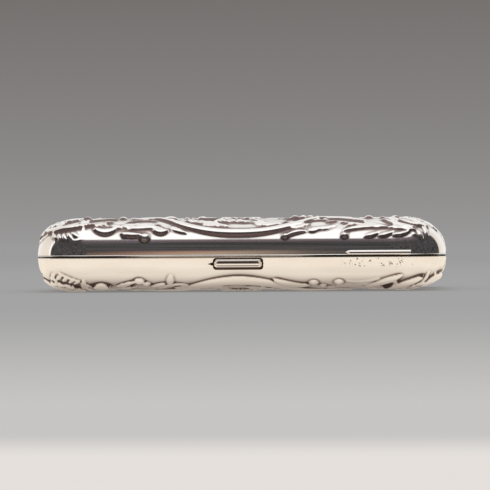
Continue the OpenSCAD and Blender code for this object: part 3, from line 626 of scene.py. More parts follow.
def darkened(half, work, fine=0.09, wide=1.5):
    # the relief as it is shown, the tarnish and painted shade round it, and the matted ground between
    raw = work.softened(fine)
    work.shown = np.minimum(raw, case["relief"] + case["finest"])
    gu, gv = np.meshgrid(work.u, work.v)
    outU, outV = gu - np.clip(gu, -coreX, coreX), gv - np.clip(gv, -coreY, coreY)
    low = np.hypot(outU, outV)
    slopeV, slopeU = np.gradient(raw, work.cell)
    slope = (slopeU * outU + slopeV * outV) / np.maximum(low, 1e-6) * np.clip((low - 2) / 3, 0, 1)
    # tarnish and painted shade lie round every form, and painted shade on the flanks that look toward the
    # seam
    around = (work.softened(half["sootAndShadeReach"]) - raw) / half["sootAndShadeShare"]
    flank = np.clip((-slope - np.interp(low, (8.0, 10.5), half["shadedFlankFrom"])) / 0.30, 0, 1)
    # a soft painted shade spreads round the forms
    softShade = np.clip((work.softened(wide) - raw) / 0.24, 0, 1) * half["softShade"]
    lined = np.maximum(around * (1 - 0.35 * np.clip(slope / 0.4, 0, 1)), flank)
    work.recess = np.clip(np.maximum(lined, softShade), 0, 1)
    plain = np.hypot(gu / (reserve[0] - 0.5), gv / (reserve[1] - 0.5)) < 1
    work.ground = np.clip((0.12 - raw) / 0.08, 0, 1) * np.clip((9.0 - low) / 2.0, 0, 1) * ~plain


lidWork = chase(lidHalf, lidFront, lidFrontBosses, (27.6, 36.9, 1.15, 0.70, 2.45))
for lean in (0, -28, 28):
    # three ribs that spread from one point
    u, v = fromPhoto(lidHalf, 16.7 - lean * 0.03, 9.1)
    lidWork.stroke("bud", float(u), float(v), 90 + lean, 3.6, (0, 0, 0), 0.95, 1.03)
baseWork = chase(baseHalf, baseFront, baseFrontBosses, (27.2, 35.3, 1.9, 0.62))
darkened(lidHalf, lidWork)
darkened(baseHalf, baseWork)
print("chasing mapped")


def toMesh(bm, name, materials, smooth=None, unit=mm):
    bmesh.ops.scale(bm, vec=(unit, unit, unit), verts=bm.verts)
    mesh = bpy.data.meshes.new(name)
    bm.to_mesh(mesh)
    bm.free()
    for material in materials:
        mesh.materials.append(material)
    if smooth:
        soften(mesh, smooth)
    obj = bpy.data.objects.new(name, mesh)
    bpy.context.scene.collection.objects.link(obj)
    return obj


def soften(mesh, degrees):
    mesh.shade_smooth()
    mesh.set_sharp_from_angle(angle=math.radians(degrees))


def joined(obj, body, slotName, *nodes):
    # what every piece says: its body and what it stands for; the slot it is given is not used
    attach(obj, body)
    if nodes:
        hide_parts(*nodes)
    return obj


def evaluated(obj):
    bpy.context.view_layer.update()
    return bpy.data.meshes.new_from_object(obj.evaluated_get(bpy.context.evaluated_depsgraph_get()))


def cutAway(obj, form, unit=mm):
    cutter = toMesh(form, obj.name + "Cutter", [], unit=unit)
    cut = obj.modifiers.new("cut", "BOOLEAN")
    cut.object, cut.operation, cut.solver = cutter, "DIFFERENCE", "EXACT"
    done = evaluated(obj)
    obj.modifiers.clear()
    old, obj.data = obj.data, done
    bpy.data.meshes.remove(old)
    bpy.data.objects.remove(cutter)


def outward(bm):
    bmesh.ops.recalc_face_normals(bm, faces=bm.faces)


def capped(bm):
    bmesh.ops.holes_fill(bm, edges=[e for e in bm.edges if e.is_boundary], sides=0)
    outward(bm)


def fitted(bm, scale=(1, 1, 1), shift=(0, 0, 0), verts=None):
    bmesh.ops.scale(bm, vec=scale, verts=verts or bm.verts)
    bmesh.ops.translate(bm, vec=shift, verts=verts or bm.verts)


def addBox(bm, low, high):
    made = bmesh.ops.create_cube(bm, size=1)["verts"]
    fitted(bm, [b - a for a, b in zip(low, high)], [(a + b) / 2 for a, b in zip(low, high)], made)


def outlined(bm, points):
    # a face, as the geometry that dragged() takes
    verts = [bm.verts.new(point) for point in points]
    return verts + bm.faces.new(verts).edges[:]


def dragged(bm, geom, steps, way=(0, 0, 0), turn=0, centre=(0, 0, 0)):
    # drags geometry straight along or round an upright axis, and gives its last place
    return bmesh.ops.spin(bm, geom=geom, axis=(0, 0, 1), cent=centre, dvec=[part / steps for part in way],
                          angle=turn, steps=steps)["geom_last"]


def slab(points, depth):
    # an outline drawn out along a way
    bm = bmesh.new()
    outlined(bm, points)
    grown = bmesh.ops.extrude_face_region(bm, geom=bm.faces[:])["geom"]
    bmesh.ops.translate(bm, vec=depth, verts=[g for g in grown if isinstance(g, bmesh.types.BMVert)])
    outward(bm)
    return bm


def roundForm(bm, points, x, y, steps, grids=()):
    # draws a section (distance from the core, height) round a quarter of a rounded form, then mirrors it
    along, across, corner = steps
    verts = [bm.verts.new((x + r, 0, z)) for r, z in points]
    geom = verts + [bm.edges.new(pair) for pair in zip(verts, verts[1:])]
    geom = dragged(bm, geom, across, (0, y, 0))
    geom = dragged(bm, geom, corner, turn=math.pi / 2, centre=(x, y, 0))
    dragged(bm, geom, along, (-x, 0, 0))
    for z in grids:
        made = bmesh.ops.create_grid(bm, x_segments=along, y_segments=across, size=0.5)["verts"]
        fitted(bm, (x, y, 1), (x / 2, y / 2, z), made)
    for axis in "XY":
        whole = bm.verts[:] + bm.edges[:] + bm.faces[:]
        bmesh.ops.mirror(bm, geom=whole, matrix=Matrix(), merge_dist=0.001, axis=axis)
    bmesh.ops.remove_doubles(bm, verts=bm.verts, dist=0.002)
    capped(bm)


def setOnSeam(bm, half):
    # roundForm makes both halves standing up from z = 0
    fitted(bm, (1, 1, half["up"]), (0, 0, case["seam"]))
    outward(bm)


def innerLine(half, depth, mouth, count):
    # the section of a form that lies a set depth inside the outside, from its mouth up to its flat
    radius, run, rise = case["cornerRadius"] - depth, case["edgeRun"] - depth / 2, half["rise"] - depth
    n = case["fullness"]
    start = math.asin(min(1, (1 - (mouth / rise) ** n) ** 0.5))
    return [(radius - run + run * math.sin(turn) ** (2 / n), rise * math.cos(turn) ** (2 / n))
            for turn in np.linspace(start, 0, count)]


hinge = {"count": 7, "gap": 0.1, "own": 1.10, "other": 1.25}


def channelForm(own):
    # room for the hinge's tubes, and more of it round the other half's
    axisY = (knuckleLow.y + knuckleHigh.y) / 2
    pitch = (knuckleHigh.x - knuckleLow.x + hinge["gap"]) / hinge["count"]
    ends = [knuckleLow.x - hinge["gap"] / 2 + i * pitch for i in range(hinge["count"] + 1)]
    line = [(ends[0], 0)]
    for i, pair in enumerate(zip(ends, ends[1:])):
        line += [(x, hinge["own" if i % 2 == own else "other"]) for x in pair]
    line.append((ends[-1], 0))
    bm = bmesh.new()
    verts = [bm.verts.new((x, axisY, case["seam"] + r)) for x, r in line]
    edges = [bm.edges.new(pair) for pair in zip(verts, verts[1:])]
    bmesh.ops.spin(bm, geom=verts + edges, axis=(1, 0, 0), cent=(0, axisY, case["seam"]), angle=2 * math.pi,
                   steps=64, use_merge=True)
    bmesh.ops.remove_doubles(bm, verts=bm.verts, dist=0.001)
    outward(bm)
    return bm


# The button's opening, with a nick at each end
slot = {
    "length": buttonHigh.x - buttonLow.x + 0.75, "height": buttonHigh.z - buttonLow.z + 0.70,
    "centre": (buttonHigh.z + buttonLow.z) / 2, "corner": 0.80,
    "leftNick": 1.35, "rightNick": 0.25, "nickRoot": 0.34,
}


def slotForm():
    length, tall, corner = slot["length"] / 2, slot["height"] / 2, slot["corner"]
    bends = [(length - corner + corner * math.sin(a), tall - corner + corner * math.cos(a))
             for a in np.linspace(0, math.pi / 2, 6)]
    outline = []
    for way, nick in ((1, slot["rightNick"]), (-1, slot["leftNick"])):
        root = nick * slot["nickRoot"]
        point = [(length, -root), (length + nick, 0), (length, root)]
        end = [(x, -z) for x, z in bends] + point + bends[::-1]
        outline += [(x * way, -case["halfWidth"] - 3, slot["centre"] + z * way) for x, z in end]
    return slab(outline, (0, 6, 0))


shellGrid = {"along": 110, "across": 60, "corner": 56, "arc": 0.31, "inside": 7}


def makeShell(name, half, work, own, body, node):
    far = np.interp(-half["mouth"], -half["z"], half["s"]) + flatRadius
    rings = int(round(far / shellGrid["arc"])) + 1
    section = [tuple(map(float, profileAt(half, d))) for d in np.linspace(0, far, rings)]
    section += innerLine(half, case["sheet"], half["mouth"], shellGrid["inside"])
    section.append((0, half["rise"] - case["sheet"]))
    bm = bmesh.new()
    steps = [shellGrid[way] for way in ("along", "across", "corner")]
    roundForm(bm, section, coreX, coreY, steps, grids=[half["rise"]])
    setOnSeam(bm, half)
    obj = toMesh(bm, name, [silver, gilt, shadedEdges], unit=1)
    cutAway(obj, channelForm(own), unit=1)
    if half is baseHalf:
        cutAway(obj, slotForm(), unit=1)
    mesh = obj.data
    n = case["fullness"]
    co = np.zeros(len(mesh.vertices) * 3)
    mesh.vertices.foreach_get("co", co)
    co = co.reshape(-1, 3)
    # where each vertex lies on the rolled-out sheet
    h = (co[:, 2] - case["seam"]) * half["up"]
    foot = np.clip(co[:, :2], (-coreX, -coreY), (coreX, coreY))
    away = co[:, :2] - foot
    d = np.hypot(*away.T)
    way = away / np.maximum(d, 1e-9)[:, None]
    x = np.maximum(d - flatRadius, 0) / case["edgeRun"]
    z = np.clip(h / half["rise"], 0, 1)
    level = x ** n + z ** n
    outside = level > 0.985
    s = np.where(d < flatRadius, d, flatRadius + np.interp(x * case["edgeRun"], half["x"], half["s"]))
    s = np.where(x > 0.9, flatRadius + np.interp(-h, -half["z"], half["s"]), s)
    u, v = (foot + way * s[:, None]).T
    # the relief stands out square to the sheet, but nothing lies lower than the table
    lift = work.sample(work.shown, u, v) * outside
    out, rise = x ** (n - 1) / case["edgeRun"], z ** (n - 1) / half["rise"]
    lift /= np.hypot(out, rise) + 1e-12
    co[:, :2] += way * (out * lift)[:, None]
    co[:, 2] = np.maximum(co[:, 2] + half["up"] * rise * lift, 0)
    mesh.vertices.foreach_set("co", (co * mm).ravel())
    for title, field in (("recess", work.recess), ("ground", work.ground)):
        stored = mesh.attributes.new(title, "FLOAT", "POINT")
        stored.data.foreach_set("value", (work.sample(field, u, v) * outside).astype(np.float32))
    # the inside is gilt, and the edges of the sheet are near black as painted shade
    corners, first = np.zeros(len(mesh.loops), int), np.zeros(len(mesh.polygons), int)
    mesh.loops.foreach_get("vertex_index", corners)
    mesh.polygons.foreach_get("loop_start", first)
    allOut, allIn = (np.minimum.reduceat(side[corners], first) for side in (outside, level < 0.95))
    mesh.polygons.foreach_set("material_index", np.where(allOut, 0, np.where(allIn, 1, 2)).astype(np.int32))
    mesh.update()
    soften(mesh, 62)
    joined(obj, body, "silver", node)
    print(name, "made", len(mesh.polygons))


makeShell("lidShell", lidHalf, lidWork, 1, "lid", "lid_shell")
makeShell("baseShell", baseHalf, baseWork, 0, "base", "base_shell")

# The wires round the mouths: how far they stand out and reach in from the outline, and their rounded edges
wires = {
    "lid": {"out": 0.15, "in": 1.20, "top": 0.30, "foot": 0.10},
    "base": {"out": 0.0, "in": 1.32, "top": 0.10, "foot": 0.02},
    "cornerSteps": 28, "strip": 0.14, "overKnuckles": 0.05,
}


def makeRim(name, node, body):
    # runs round the mouth from one end of the hinge to the other
    low, high = box(node)
    wire, end = wires[body], knuckleHigh.x + wires["overKnuckles"]
    outer, inner = coreY + case["cornerRadius"] + wire["out"], coreY + case["cornerRadius"] - wire["in"]
    section = [(end, inner, low.z), (end, inner, high.z)]
    for bend, way in ((wire["top"], 1), (wire["foot"], -1)):
        level = high.z - bend if way > 0 else low.z + bend
        for a in np.linspace(0, math.pi / 2, 6)[::way]:
            section.append((end, outer - bend + bend * math.sin(a), level + way * bend * math.cos(a)))
    legs = [
        ((coreX - end, 0, 0), (1, 1)), ((0, -2 * coreY, 0), (1, -1)), ((-2 * coreX, 0, 0), (-1, -1)),
        ((0, 2 * coreY, 0), (-1, 1)), ((coreX - end, 0, 0), None),
    ]
    bm = bmesh.new()
    geom = outlined(bm, section)
    for way, corner in legs:
        geom = dragged(bm, geom, 1, way)
        if corner:
            centre = (coreX * corner[0], coreY * corner[1], 0)
            geom = dragged(bm, geom, wires["cornerSteps"], turn=-math.pi / 2, centre=centre)
    capped(bm)
    # a thin strip is left behind the knuckles
    reach = end + wires["overKnuckles"]
    addBox(bm, (-reach, inner, low.z), (reach, inner + wires["strip"], high.z))
    bmesh.ops.remove_doubles(bm, verts=bm.verts, dist=0.0005)
    outward(bm)
    obj = toMesh(bm, name, [rimSilver], smooth=50)
    if body == "base":
        cutAway(obj, slotForm())
    joined(obj, body, "rim_silver", node)


makeRim("lidRimWire", "lid_rim", "lid")
makeRim("baseRimWire", "base_rim", "base")

# The button: its face is reeded lengthwise, and the reeds run out before its ends. The face is how deep it
# lies at each share of its height, from the bottom up.
button = {
    "round": 0.80, "ease": 0.22, "plainEnd": 1.0, "runOut": 0.35, "steps": 120,
    "groove": (0.645, 0.80), "under": 0.14,
    "face": [(0, 0.34), (0.03, 0.16), (0.1, 0.06), (0.17, 0), (0.3, 0), (0.34, 0.05), (0.38, 0),
             (0.5, 0), (0.6, 0), (0.64, 0.04), (0.66, 0.16), (0.69, 0.26), (0.76, 0.27), (0.79, 0.16),
             (0.81, 0.04), (0.85, 0), (0.9, 0.03), (0.94, 0.1), (0.97, 0.18), (1, 0.34)],
}


def makeButton():
    tall, front, back, half = buttonHigh.z - buttonLow.z, buttonLow.y, buttonHigh.y, buttonHigh.x
    line = [(back, 0.0)] + [(front + deep, share) for share, deep in button["face"]] + [(back, 1.0)]
    bm = bmesh.new()
    face = outlined(bm, [(-1, y, (share - 0.5) * tall) for y, share in line])
    dragged(bm, face, button["steps"], (2, 0, 0))
    capped(bm)
    sootAndShade = bm.verts.layers.float.new("recess")
    for v in bm.verts:
        v.co.x = half * math.sin(v.co.x * math.pi / 2)
        short, share, onFace = half - abs(v.co.x), v.co.z / tall + 0.5, v.co.y < back - 0.2
        # painted shade: the groove is marked dark
        if onFace and short > button["plainEnd"] - 0.1:
            v[sootAndShade] = float(button["groove"][0] < share < button["groove"][1])
        # painted shade on the underside, above the slot's gap
        if share < button["under"]:
            v[sootAndShade] = 1.0
        # the grooves fill up toward the ends, the ends are rounded, and their edges eased
        if onFace:
            if 0.12 < share < 0.88:
                v.co.y += (front - v.co.y) * min(1, max(0, (button["plainEnd"] - short) / button["runOut"]))
            bent = max(0, button["ease"] - short) / button["ease"]
            v.co.y += button["ease"] * (1 - math.sqrt(max(0, 1 - bent ** 2)))
        over = max(0, button["round"] - short)
        v.co.z *= 1 - (button["round"] - math.sqrt(button["round"] ** 2 - over ** 2)) / (tall / 2)
        v.co.z += slot["centre"]
    joined(toMesh(bm, "reededButton", [silver], smooth=40), "catch", "rim_silver", "push_button")


makeButton()

# The plain reserve on the lid's front: a bar of two facets with a line of painted shade between, one end cut
# to a point.
# The face is how far it stands out at each share of its height, from the bottom up.
bar = {
    "left": 27.8, "right": 43.4, "foot": 0.34, "top": 1.40, "sink": 0.5, "steps": 24, "groove": (0.22, 0.60),
    "face": [(0, 0.16), (0.06, 0.3), (0.16, 0.38), (0.2, 0.36), (0.26, 0.26), (0.4, 0.2), (0.54, 0.26),
             (0.59, 0.34), (0.62, 0.42), (0.66, 0.4), (0.76, 0.31), (0.87, 0.18), (0.96, 0.06), (1, 0)],
}


def makeBar():
    left, right = map(float, fromPhoto(lidHalf, [bar["left"], bar["right"]], [bar["foot"], bar["top"]])[0])
    low, tall = case["seam"] + bar["foot"], bar["top"] * 0.985 - bar["foot"]
    wall = 0.04 - case["halfWidth"]
    line = [(0.0, -bar["sink"])] + bar["face"] + [(1.0, -bar["sink"])]
    bm = bmesh.new()
    face = outlined(bm, [(left, wall - proud, low + tall * share) for share, proud in line])
    dragged(bm, face, bar["steps"], (right - left, 0, 0))
    capped(bm)
    sootAndShade = bm.verts.layers.float.new("recess")
    for v in bm.verts:
        # the left end runs to a point and falls away to the lid, and the groove is dark with painted shade
        short, share, middle = v.co.x - left, (v.co.z - low) / tall, low + tall / 2
        v[sootAndShade] = float(bar["groove"][0] < share < bar["groove"][1] and v.co.y < wall and short > 0.8)
        v.co.z = middle + (v.co.z - middle) * min(1, 0.15 + short / 0.9)
        if v.co.y < wall:
            v.co.y = wall - (wall - v.co.y) * min(1, 0.1 + short / 0.7)
    joined(toMesh(bm, "reserveBar", [silver], smooth=50), "lid", "silver")


makeBar()

# The leaf spring behind the button, made bowed forward; the real one flattens as the button goes in
spring = {"thick": 0.25, "steps": 32, "eased": 0.06}


def makeSpring():
    low, high = box("catch_spring")
    room = high.y - low.y
    sag, front = room - spring["thick"], high.y - spring["thick"]
    bend = (high.x ** 2 + sag ** 2) / (2 * sag)
    middle, half = (0, high.y - bend, 0), math.asin(high.x / bend)
    bm = bmesh.new()
    geom = outlined(bm, [(0, front, low.z), (0, high.y, low.z), (0, high.y, high.z), (0, front, high.z)])
    bmesh.ops.rotate(bm, cent=middle, matrix=Matrix.Rotation(-half, 3, "Z"), verts=bm.verts)
    dragged(bm, geom, spring["steps"], turn=2 * half, centre=middle)
    capped(bm)
    corners = [e for e in bm.edges if e.calc_face_angle(0) > 1.2]
    bmesh.ops.bevel(bm, geom=corners, offset=spring["eased"], offset_type="OFFSET", segments=2, profile=0.5,
                    affect="EDGES", material=-1)
    leaf = joined(toMesh(bm, "bowedSpring", [steel], smooth=40), "base", "steel", "catch_spring")
    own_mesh(leaf)


makeSpring()
print("rims, button, bar and spring made")

# The lining: silk over board in each half, cut away round the hinge's strips and the catch
tray = {"depth": 0.9, "board": 0.7, "clear": 0.35, "lip": 0.35, "segments": (20, 12, 20), "far": 50}


def makeTray(name, half, node, body, *notches):
    low, high = box(node)
    mouth = (case["seam"] - high.z) if half["up"] < 0 else (low.z - case["seam"])
    outer = innerLine(half, tray["depth"], mouth, 16)[::-1]
    inner = innerLine(half, tray["depth"] + tray["board"], mouth, 16)
    # the silk is turned over the board's edge, so the lip is round
    (outR, z), inR = outer[-1], inner[0][0]
    rolled = [((outR + inR) / 2 + (outR - inR) / 2 * math.cos(a), z + tray["lip"] * (1 - math.sin(a)))
              for a in np.linspace(0, math.pi, 9)]
    outer, inner = ([(r, h) for r, h in line if h > mouth + 0.4] for line in (outer, inner))
    rise = half["rise"] - tray["depth"]
    section = [(0, rise)] + outer + rolled + inner + [(0, rise - tray["board"])]
    bm = bmesh.new()
    roundForm(bm, section, coreX, coreY, tray["segments"])
    setOnSeam(bm, half)
    obj = toMesh(bm, name, [liningSilk])
    cutter = bmesh.new()
    for notch in notches:
        addBox(cutter, *notch)
    cutAway(obj, cutter)
    soften(obj.data, 45)
    joined(obj, body, "lining_silk", node)


room, far = tray["clear"], tray["far"]
(stripLow, stripHigh), (lidStripLow, lidStripHigh) = box("base_hinge_strip"), box("lid_hinge_strip")
(housingLow, housingHigh), (keeperLow, keeperHigh) = box("catch_housing"), box("catch_keeper")
makeTray("baseTraySilk", baseHalf, "base_liner_tray", "base",
         ((stripLow.x - room, stripLow.y - room, stripLow.z - room), (stripHigh.x + room, far, far)),
         ((housingLow.x - room, -far, -far), (housingHigh.x + room, housingHigh.y + room, far)))
makeTray("lidTraySilk", lidHalf, "lid_liner_tray", "lid",
         ((lidStripLow.x - room, lidStripLow.y - room, 0),
          (lidStripHigh.x + room, far, lidStripHigh.z + room)),
         ((keeperLow.x - 3 * room, -far, 0),
          (keeperHigh.x + 3 * room, keeperHigh.y + 3 * room, keeperHigh.z + room)))

# The pads: wadding under watered silk, crowned, their sides drawn in between the corners
pad = {"corner": 6.0, "edge": 0.9, "crown": 0.5, "drawnIn": 0.45, "pucker": 0.05, "segments": (60, 44, 22)}


def makePad(name, node, body, upsideDown=False):
    low, high = box(node)
    halfX, halfY, thick = (high.x - low.x) / 2, (high.y - low.y) / 2, high.z - low.z - pad["crown"]
    r, e = pad["corner"], pad["edge"]
    section = [(0, thick)] + [(d, thick) for d in np.linspace(0.8, r - e, 6)]
    section += [(r - e + e * math.sin(a), thick * (0.5 + 0.5 * math.cos(a)))
                for a in np.linspace(0.3, math.pi - 0.3, 9)]
    section += [(r - e, 0), (0, 0)]
    bm = bmesh.new()
    roundForm(bm, section, halfX - r, halfY - r, pad["segments"], grids=[thick])
    for v in bm.verts:
        # crowned in the middle, with slight folds that run in from the edge
        x, y = v.co.x, v.co.y
        a, b = x / halfX, y / halfY
        edge = max(abs(a), abs(b))
        phase = x * 1.9 + math.sin(y * 0.7) if abs(b) > abs(a) else y * 2.1 + math.sin(x * 0.6)
        fade = min(1, max(0, edge - 0.80) / 0.15) * (1 if edge < 0.97 else 0.3)
        if v.co.z > thick * 0.4:
            crown = pad["crown"] * (1 - abs(a) ** 3) * (1 - abs(b) ** 3)
            v.co.z += crown + pad["pucker"] * math.sin(phase) * fade
        v.co.y -= math.copysign(pad["drawnIn"] * (1 - a * a) * abs(b) ** 4, y)
        v.co.x -= math.copysign(pad["drawnIn"] * (1 - b * b) * abs(a) ** 4, x)
    if upsideDown:
        fitted(bm, (1, 1, -1), (0, 0, high.z - low.z))
        outward(bm)
    fitted(bm, shift=((low.x + high.x) / 2, (low.y + high.y) / 2, low.z))
    obj = joined(toMesh(bm, name, [padSilk], smooth=60), body, "pad_silk", node)


makePad("basePadSilk", "base_pad", "base")
makePad("lidPadSilk", "lid_pad", "lid", upsideDown=True)

# Two ribbons across the base, held under the tabs at both ends
ribbon = {
    "thick": 0.26, "wide": 10.0, "lift": 0.14, "rise": 0.3, "belly": 0.05, "ripple": 0.03, "grid": (20, 90),
}
ribbonLow, ribbonHigh = box("base_ribbons")


def makeRibbon(name, side):
    reach, middle = ribbonHigh.y, side * (ribbonHigh.x - ribbon["wide"] / 2)
    bm = bmesh.new()
    across, along = ribbon["grid"]
    for v in bmesh.ops.create_grid(bm, x_segments=across, y_segments=along, size=1)["verts"]:
        x, f = v.co.x, v.co.y
        z = ribbonLow.z + ribbon["lift"] + (ribbon["rise"] + ribbon["belly"] * (x * x - 1)) * (1 - f * f)
        z += ribbon["ripple"] * math.sin(f * 9 + side) * math.sin(x * 2.5 + f * 3) * (1 - f ** 4)
        v.co = (middle + x * ribbon["wide"] / 2, f * reach, z)
    obj = toMesh(bm, name, [ribbonSilk], smooth=60)
    thicken = obj.modifiers.new("thicken", "SOLIDIFY")
    thicken.thickness, thicken.offset = ribbon["thick"] * mm, 0
    joined(obj, "base", "ribbon_silk", "base_ribbons")


makeRibbon("ribbonLeft", -1)
makeRibbon("ribbonRight", 1)

# The leather pocket in the lid, its mouth bound with silk cord and stitched
pocket = {
    "inset": 1.6, "mouth": -18.0, "notchMiddle": -24.0, "notchRadius": 10.0, "binding": 0.9, "piping": 0.48,
    "segments": (40, 26, 16), "swell": 0.35, "swellX": 44, "swellY": 28, "swellMiddle": 8,
    "stitch": (0.75, 0.17, 0.14), "stitchGap": 0.75, "stitchIn": 2.2, "stitchTurn": 0.12, "stitchSunk": 0.02,
}


def mouthLine(shift, count):
    # points along the pocket's mouth, moved back from it, with the thumb notch in the middle
    radius, line = pocket["notchRadius"] + shift, pocket["mouth"] + shift
    rise = line - pocket["notchMiddle"]
    start = math.atan2(rise, -math.sqrt(radius ** 2 - rise ** 2))
    return line, [(radius * math.cos(a), pocket["notchMiddle"] + radius * math.sin(a))
                  for a in np.linspace(start, math.pi - start, count)]


def swell(x, y):
    # a card's worth of slack lets the panel swell a little toward the inside
    a, b = x / pocket["swellX"], (y - pocket["swellMiddle"]) / pocket["swellY"]
    return pocket["swell"] * max(0, 1 - a * a) * max(0, 1 - b * b)


def makePocket():
    foot, top = pocketLow.z, pocketHigh.z
    lowR, highR = (innerLine(lidHalf, pocket["inset"], z - case["seam"], 3)[0][0] for z in (foot, top))
    section = [(0, foot)] + [(r, foot) for r in np.linspace(lowR * 0.1, lowR, 14)] + [(highR, top), (0, top)]
    bm = bmesh.new()
    roundForm(bm, section, coreX, coreY, pocket["segments"], grids=[foot])
    obj = toMesh(bm, "pocketLeather", [leather])
    line, arc = mouthLine(pocket["binding"] * 0.55, 40)
    side = pocketHigh.x * 1.5
    outline = [(-side, line), *arc, (side, line), (side, -60), (-side, -60)]
    cutAway(obj, slab([(x, y, foot - 2) for x, y in outline], (0, 0, 5)))
    for v in obj.data.vertices:
        if v.co.z < (foot + 0.3) * mm:
            v.co.z -= swell(v.co.x / mm, v.co.y / mm) * mm
    soften(obj.data, 40)
    joined(obj, "lid", "pocket_leather", "lid_pocket")


def makePiping():
    # the binding: silk cord that follows the mouth and the thumb notch
    line, arc = mouthLine(pocket["binding"] / 2, 48)
    straight = [-pocketHigh.x + 0.2, *np.linspace(-pocketHigh.x + 3, arc[0][0] - 1, 8)]
    points = [(x, line) for x in straight] + arc + [(-x, line) for x in straight[::-1]]
    curve = bpy.data.curves.new("pipingLine", "CURVE")
    curve.dimensions, curve.bevel_depth, curve.bevel_resolution = "3D", pocket["piping"] * mm, 5
    curve.use_fill_caps = True
    spline = curve.splines.new("POLY")
    spline.points.add(len(points) - 1)
    for point, (x, y) in zip(spline.points, points):
        point.co = (x * mm, y * mm, (pocketLow.z + pocketHigh.z) / 2 * mm, 1)
    maker = bpy.data.objects.new("pipingMaker", curve)
    bpy.context.scene.collection.objects.link(maker)
    mesh = evaluated(maker)
    bpy.data.objects.remove(maker)
    bm = bmesh.new()
    bm.from_mesh(mesh)
    bpy.data.meshes.remove(mesh)
    cord = toMesh(bm, "pocketPiping", [ribbonSilk], smooth=60, unit=1)
    joined(cord, "lid", "ribbon_silk", "pocket_binding")


def makeStitches():
    line, arc = mouthLine(pocket["stitchIn"], 60)
    x, y = np.array([(-pocketHigh.x + 1.2, line), *arc, (pocketHigh.x - 1.2, line)]).T
    run, step = lengthAlong(x, y), 2 * pocket["stitch"][0] + pocket["stitchGap"]
    bm = bmesh.new()
    for d in np.arange(step / 2, run[-1] - step / 2, step):
        (x1, x2), (y1, y2) = (np.interp((d, d + 0.1), run, field) for field in (x, y))
        made = bmesh.ops.create_uvsphere(bm, u_segments=8, v_segments=5, radius=1)["verts"]
        bmesh.ops.scale(bm, vec=pocket["stitch"], verts=made)
        turn = Matrix.Rotation(math.atan2(y2 - y1, x2 - x1) + pocket["stitchTurn"], 3, "Z")
        bmesh.ops.rotate(bm, cent=(0, 0, 0), matrix=turn, verts=made)
        sunk = pocketLow.z - swell(x1, y1) - pocket["stitchSunk"]
        bmesh.ops.translate(bm, vec=(float(x1), float(y1), sunk), verts=made)
    joined(toMesh(bm, "pocketStitches", [thread], smooth=60), "lid", "pocket_leather")


makePocket()
makePiping()
makeStitches()
print("lining made")

# The CAD nodes that stay, each with its own finish
stays = {
    gilt: ("base_hinge_strip", "lid_hinge_strip", "catch_housing", "catch_keeper", "ribbon_tabs"),
    bezelShadedGilt: ("base_bezel",), plateShadedGilt: ("catch_plate",), steel: ("hinge_pin",),
    bright: ("base_knuckles", "lid_knuckles", "hinge_end_plugs"), brass: ("spring_rivet", "button_rivets"),
}
for material, nodes in stays.items():
    for node in nodes:
        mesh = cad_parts[node].data
        mesh.materials.clear()
        mesh.materials.append(material)

# The floor is pale paper. As the silver shows it, a painted shadow darkens it under the case, whose foot is a
# rounded rectangle.
paper = {
    "radius": 2000, "footX": 38.5, "footY": 24.0, "footRound": 14, "paler": (150, 530), "cream": (562, 584),
}


def floorFinish(net):
    y = net.y
    # grey round the case, paler toward the camera, and cream right in front of it
    near = (0 - y).between(*paper["paler"], "LINEAR") ** 2.5
    shade = net.blend(near, (0.345, 0.345, 0.345), (0.545, 0.535, 0.525))
    shade = net.blend((0 - y).between(*paper["cream"]), shade, (0.755, 0.715, 0.685))
    # a part of what the camera sees is the paper's own brightness, so that the shadow stays soft
    lit = net.add("BsdfDiffuse", {"Color": shade})
    shown = net.mixed(net.ray("Camera") * 0.45, lit, net.glow(shade, 1.08))
    # far off, where the paper curves up, it is as bright as the backdrop
    far = net.blend(y.between(0, 1500), (0.368, 0.368, 0.368), (0.333, 0.333, 0.333))
    shown = net.mixed(y.between(100, 500), shown, net.glow(far, 1.0))
    # as silver shows it: cream, with a painted shadow near and under the case
    away = net.awayFrom(paper["footX"], paper["footY"]) - paper["footRound"]
    mirrored = net.blend(away.between(1, 10, "LINEAR"), (0.88, 0.79, 0.68), (1.0, 0.89, 0.76))
    mirrored = net.blend(away.between(-7, 0), (0.42, 0.36, 0.31), mirrored)
    return net.mixed(net.ray("Glossy") * 0.95, shown, net.glow(mirrored, 0.97))


bm = bmesh.new()
bmesh.ops.create_circle(bm, cap_ends=True, segments=96, radius=paper["radius"])
toMesh(bm, "floor", [finish("floorPaper", floorFinish)])

# The surroundings: the camera sees a grey backdrop, and the silver a pale room with a dark half in front
world = bpy.data.worlds.new("studio")
bpy.context.scene.world = world
world.use_nodes = True


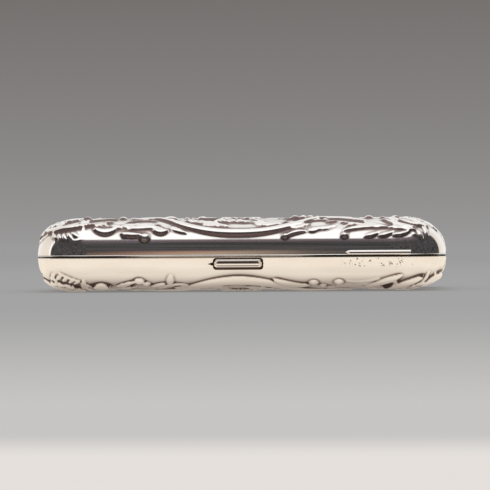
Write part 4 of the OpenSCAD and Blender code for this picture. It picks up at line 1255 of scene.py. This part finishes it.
def skyTone(net):
    x, y, z = net.x, net.y, net.z
    seen = net.blend(z.between(0, 0.12, "LINEAR") ** 0.7, (0.335, 0.33, 0.33), (0.14, 0.128, 0.12))
    flat = (x * x + y * y) ** 0.5 + 0.0001
    sideways, ahead = x / flat, (0 - y) / flat
    # the dark half reaches further round on the right than on the left
    turned = ahead + sideways.between(-0.3, 0.3) * 0.475
    inFront = turned.between(-0.10, -0.05)
    ripple = net.noise((28, 28, 10), 4).between(0.38, 0.62)
    dark = net.blend(ripple, (0.026, 0.024, 0.025), (0.094, 0.088, 0.092))
    dark = net.blend(z.between(0.58, 0.78) * (0.35 + ripple * 0.65), dark, (0.21, 0.165, 0.185))
    # two warm patches low in it, a little left of the middle
    warm = (sideways - z * 0.10).between(-0.121, -0.106) * (1 - sideways.between(-0.086, -0.052))
    dark = net.blend((1 - z.between(0.15, 0.27)) * warm * inFront * 0.85, dark, (0.50, 0.27, 0.19))
    low = (1 - (z - sideways * 4).between(0.40, 0.48)) * sideways.band(-0.118, -0.100, -0.052, -0.041)
    dark = net.blend(low * inFront * 0.85, dark, (0.50, 0.38, 0.28))
    pale = net.blend(z.between(0.05, 0.6), (0.86, 0.77, 0.67), (0.78, 0.74, 0.70))
    pale = net.blend((0 - ahead).between(0.55, 0.95), pale, (0.92, 0.91, 0.90))
    room = net.blend(inFront, pale, dark)
    # a bright strip on the left, where the dark half ends
    strip = turned.band(-0.17, -0.13, -0.09, -0.07) * (0 - sideways).between(0.5, 0.8)
    room = net.blend(strip, room, (1.25, 1.22, 1.18))
    softbox = net.blend(y.between(0.0, 0.17), (1.15, 1.13, 1.12), (0.89, 0.88, 0.87))
    mirrored = net.blend(z.between(0.77, 0.83), room, softbox)
    return net.blend(net.ray("Camera"), net.blend(net.ray("Glossy"), (0.80, 0.80, 0.80), mirrored), seen)


sky = Net(world.node_tree, "Generated", 1)
sky.add("OutputWorld", {"Surface": sky.add("Background", {"Color": skyTone(sky), "Strength": 1.0})})

# One soft lamp from above. The silver doesn't mirror it, since the surroundings have their own softbox.
light = bpy.data.lights.new("softboxAbove", "AREA")
light.shape, light.size, light.energy = "SQUARE", 0.9, 4.0
lamp = bpy.data.objects.new("softboxAbove", light)
lamp.visible_glossy = False
lamp.location = (0.1, -0.1, 1.1)
lamp.rotation_euler = (-lamp.location).to_track_quat("-Z", "Y").to_euler()

azimuth = math.radians(view["azimuth"])
back = Vector((math.sin(azimuth), -math.cos(azimuth), 0))
lens = bpy.data.cameras.new("camera")
lens.lens, lens.sensor_width = view["lens"], view["film"]
lens.clip_start, lens.clip_end = 0.02, 20.0
camera = bpy.data.objects.new("camera", lens)
camera.location = (Vector((view["across"], -case["halfWidth"], view["height"])) + back * view["away"]) * mm
rolled = Matrix.Rotation(math.radians(view["roll"]), 3, "Z")
camera.rotation_euler = ((-back).to_track_quat("-Z", "Y").to_matrix() @ rolled).to_euler()
for obj in (lamp, camera):
    bpy.context.scene.collection.objects.link(obj)
bpy.context.scene.camera = camera
bpy.context.scene.view_settings.view_transform = "Standard"
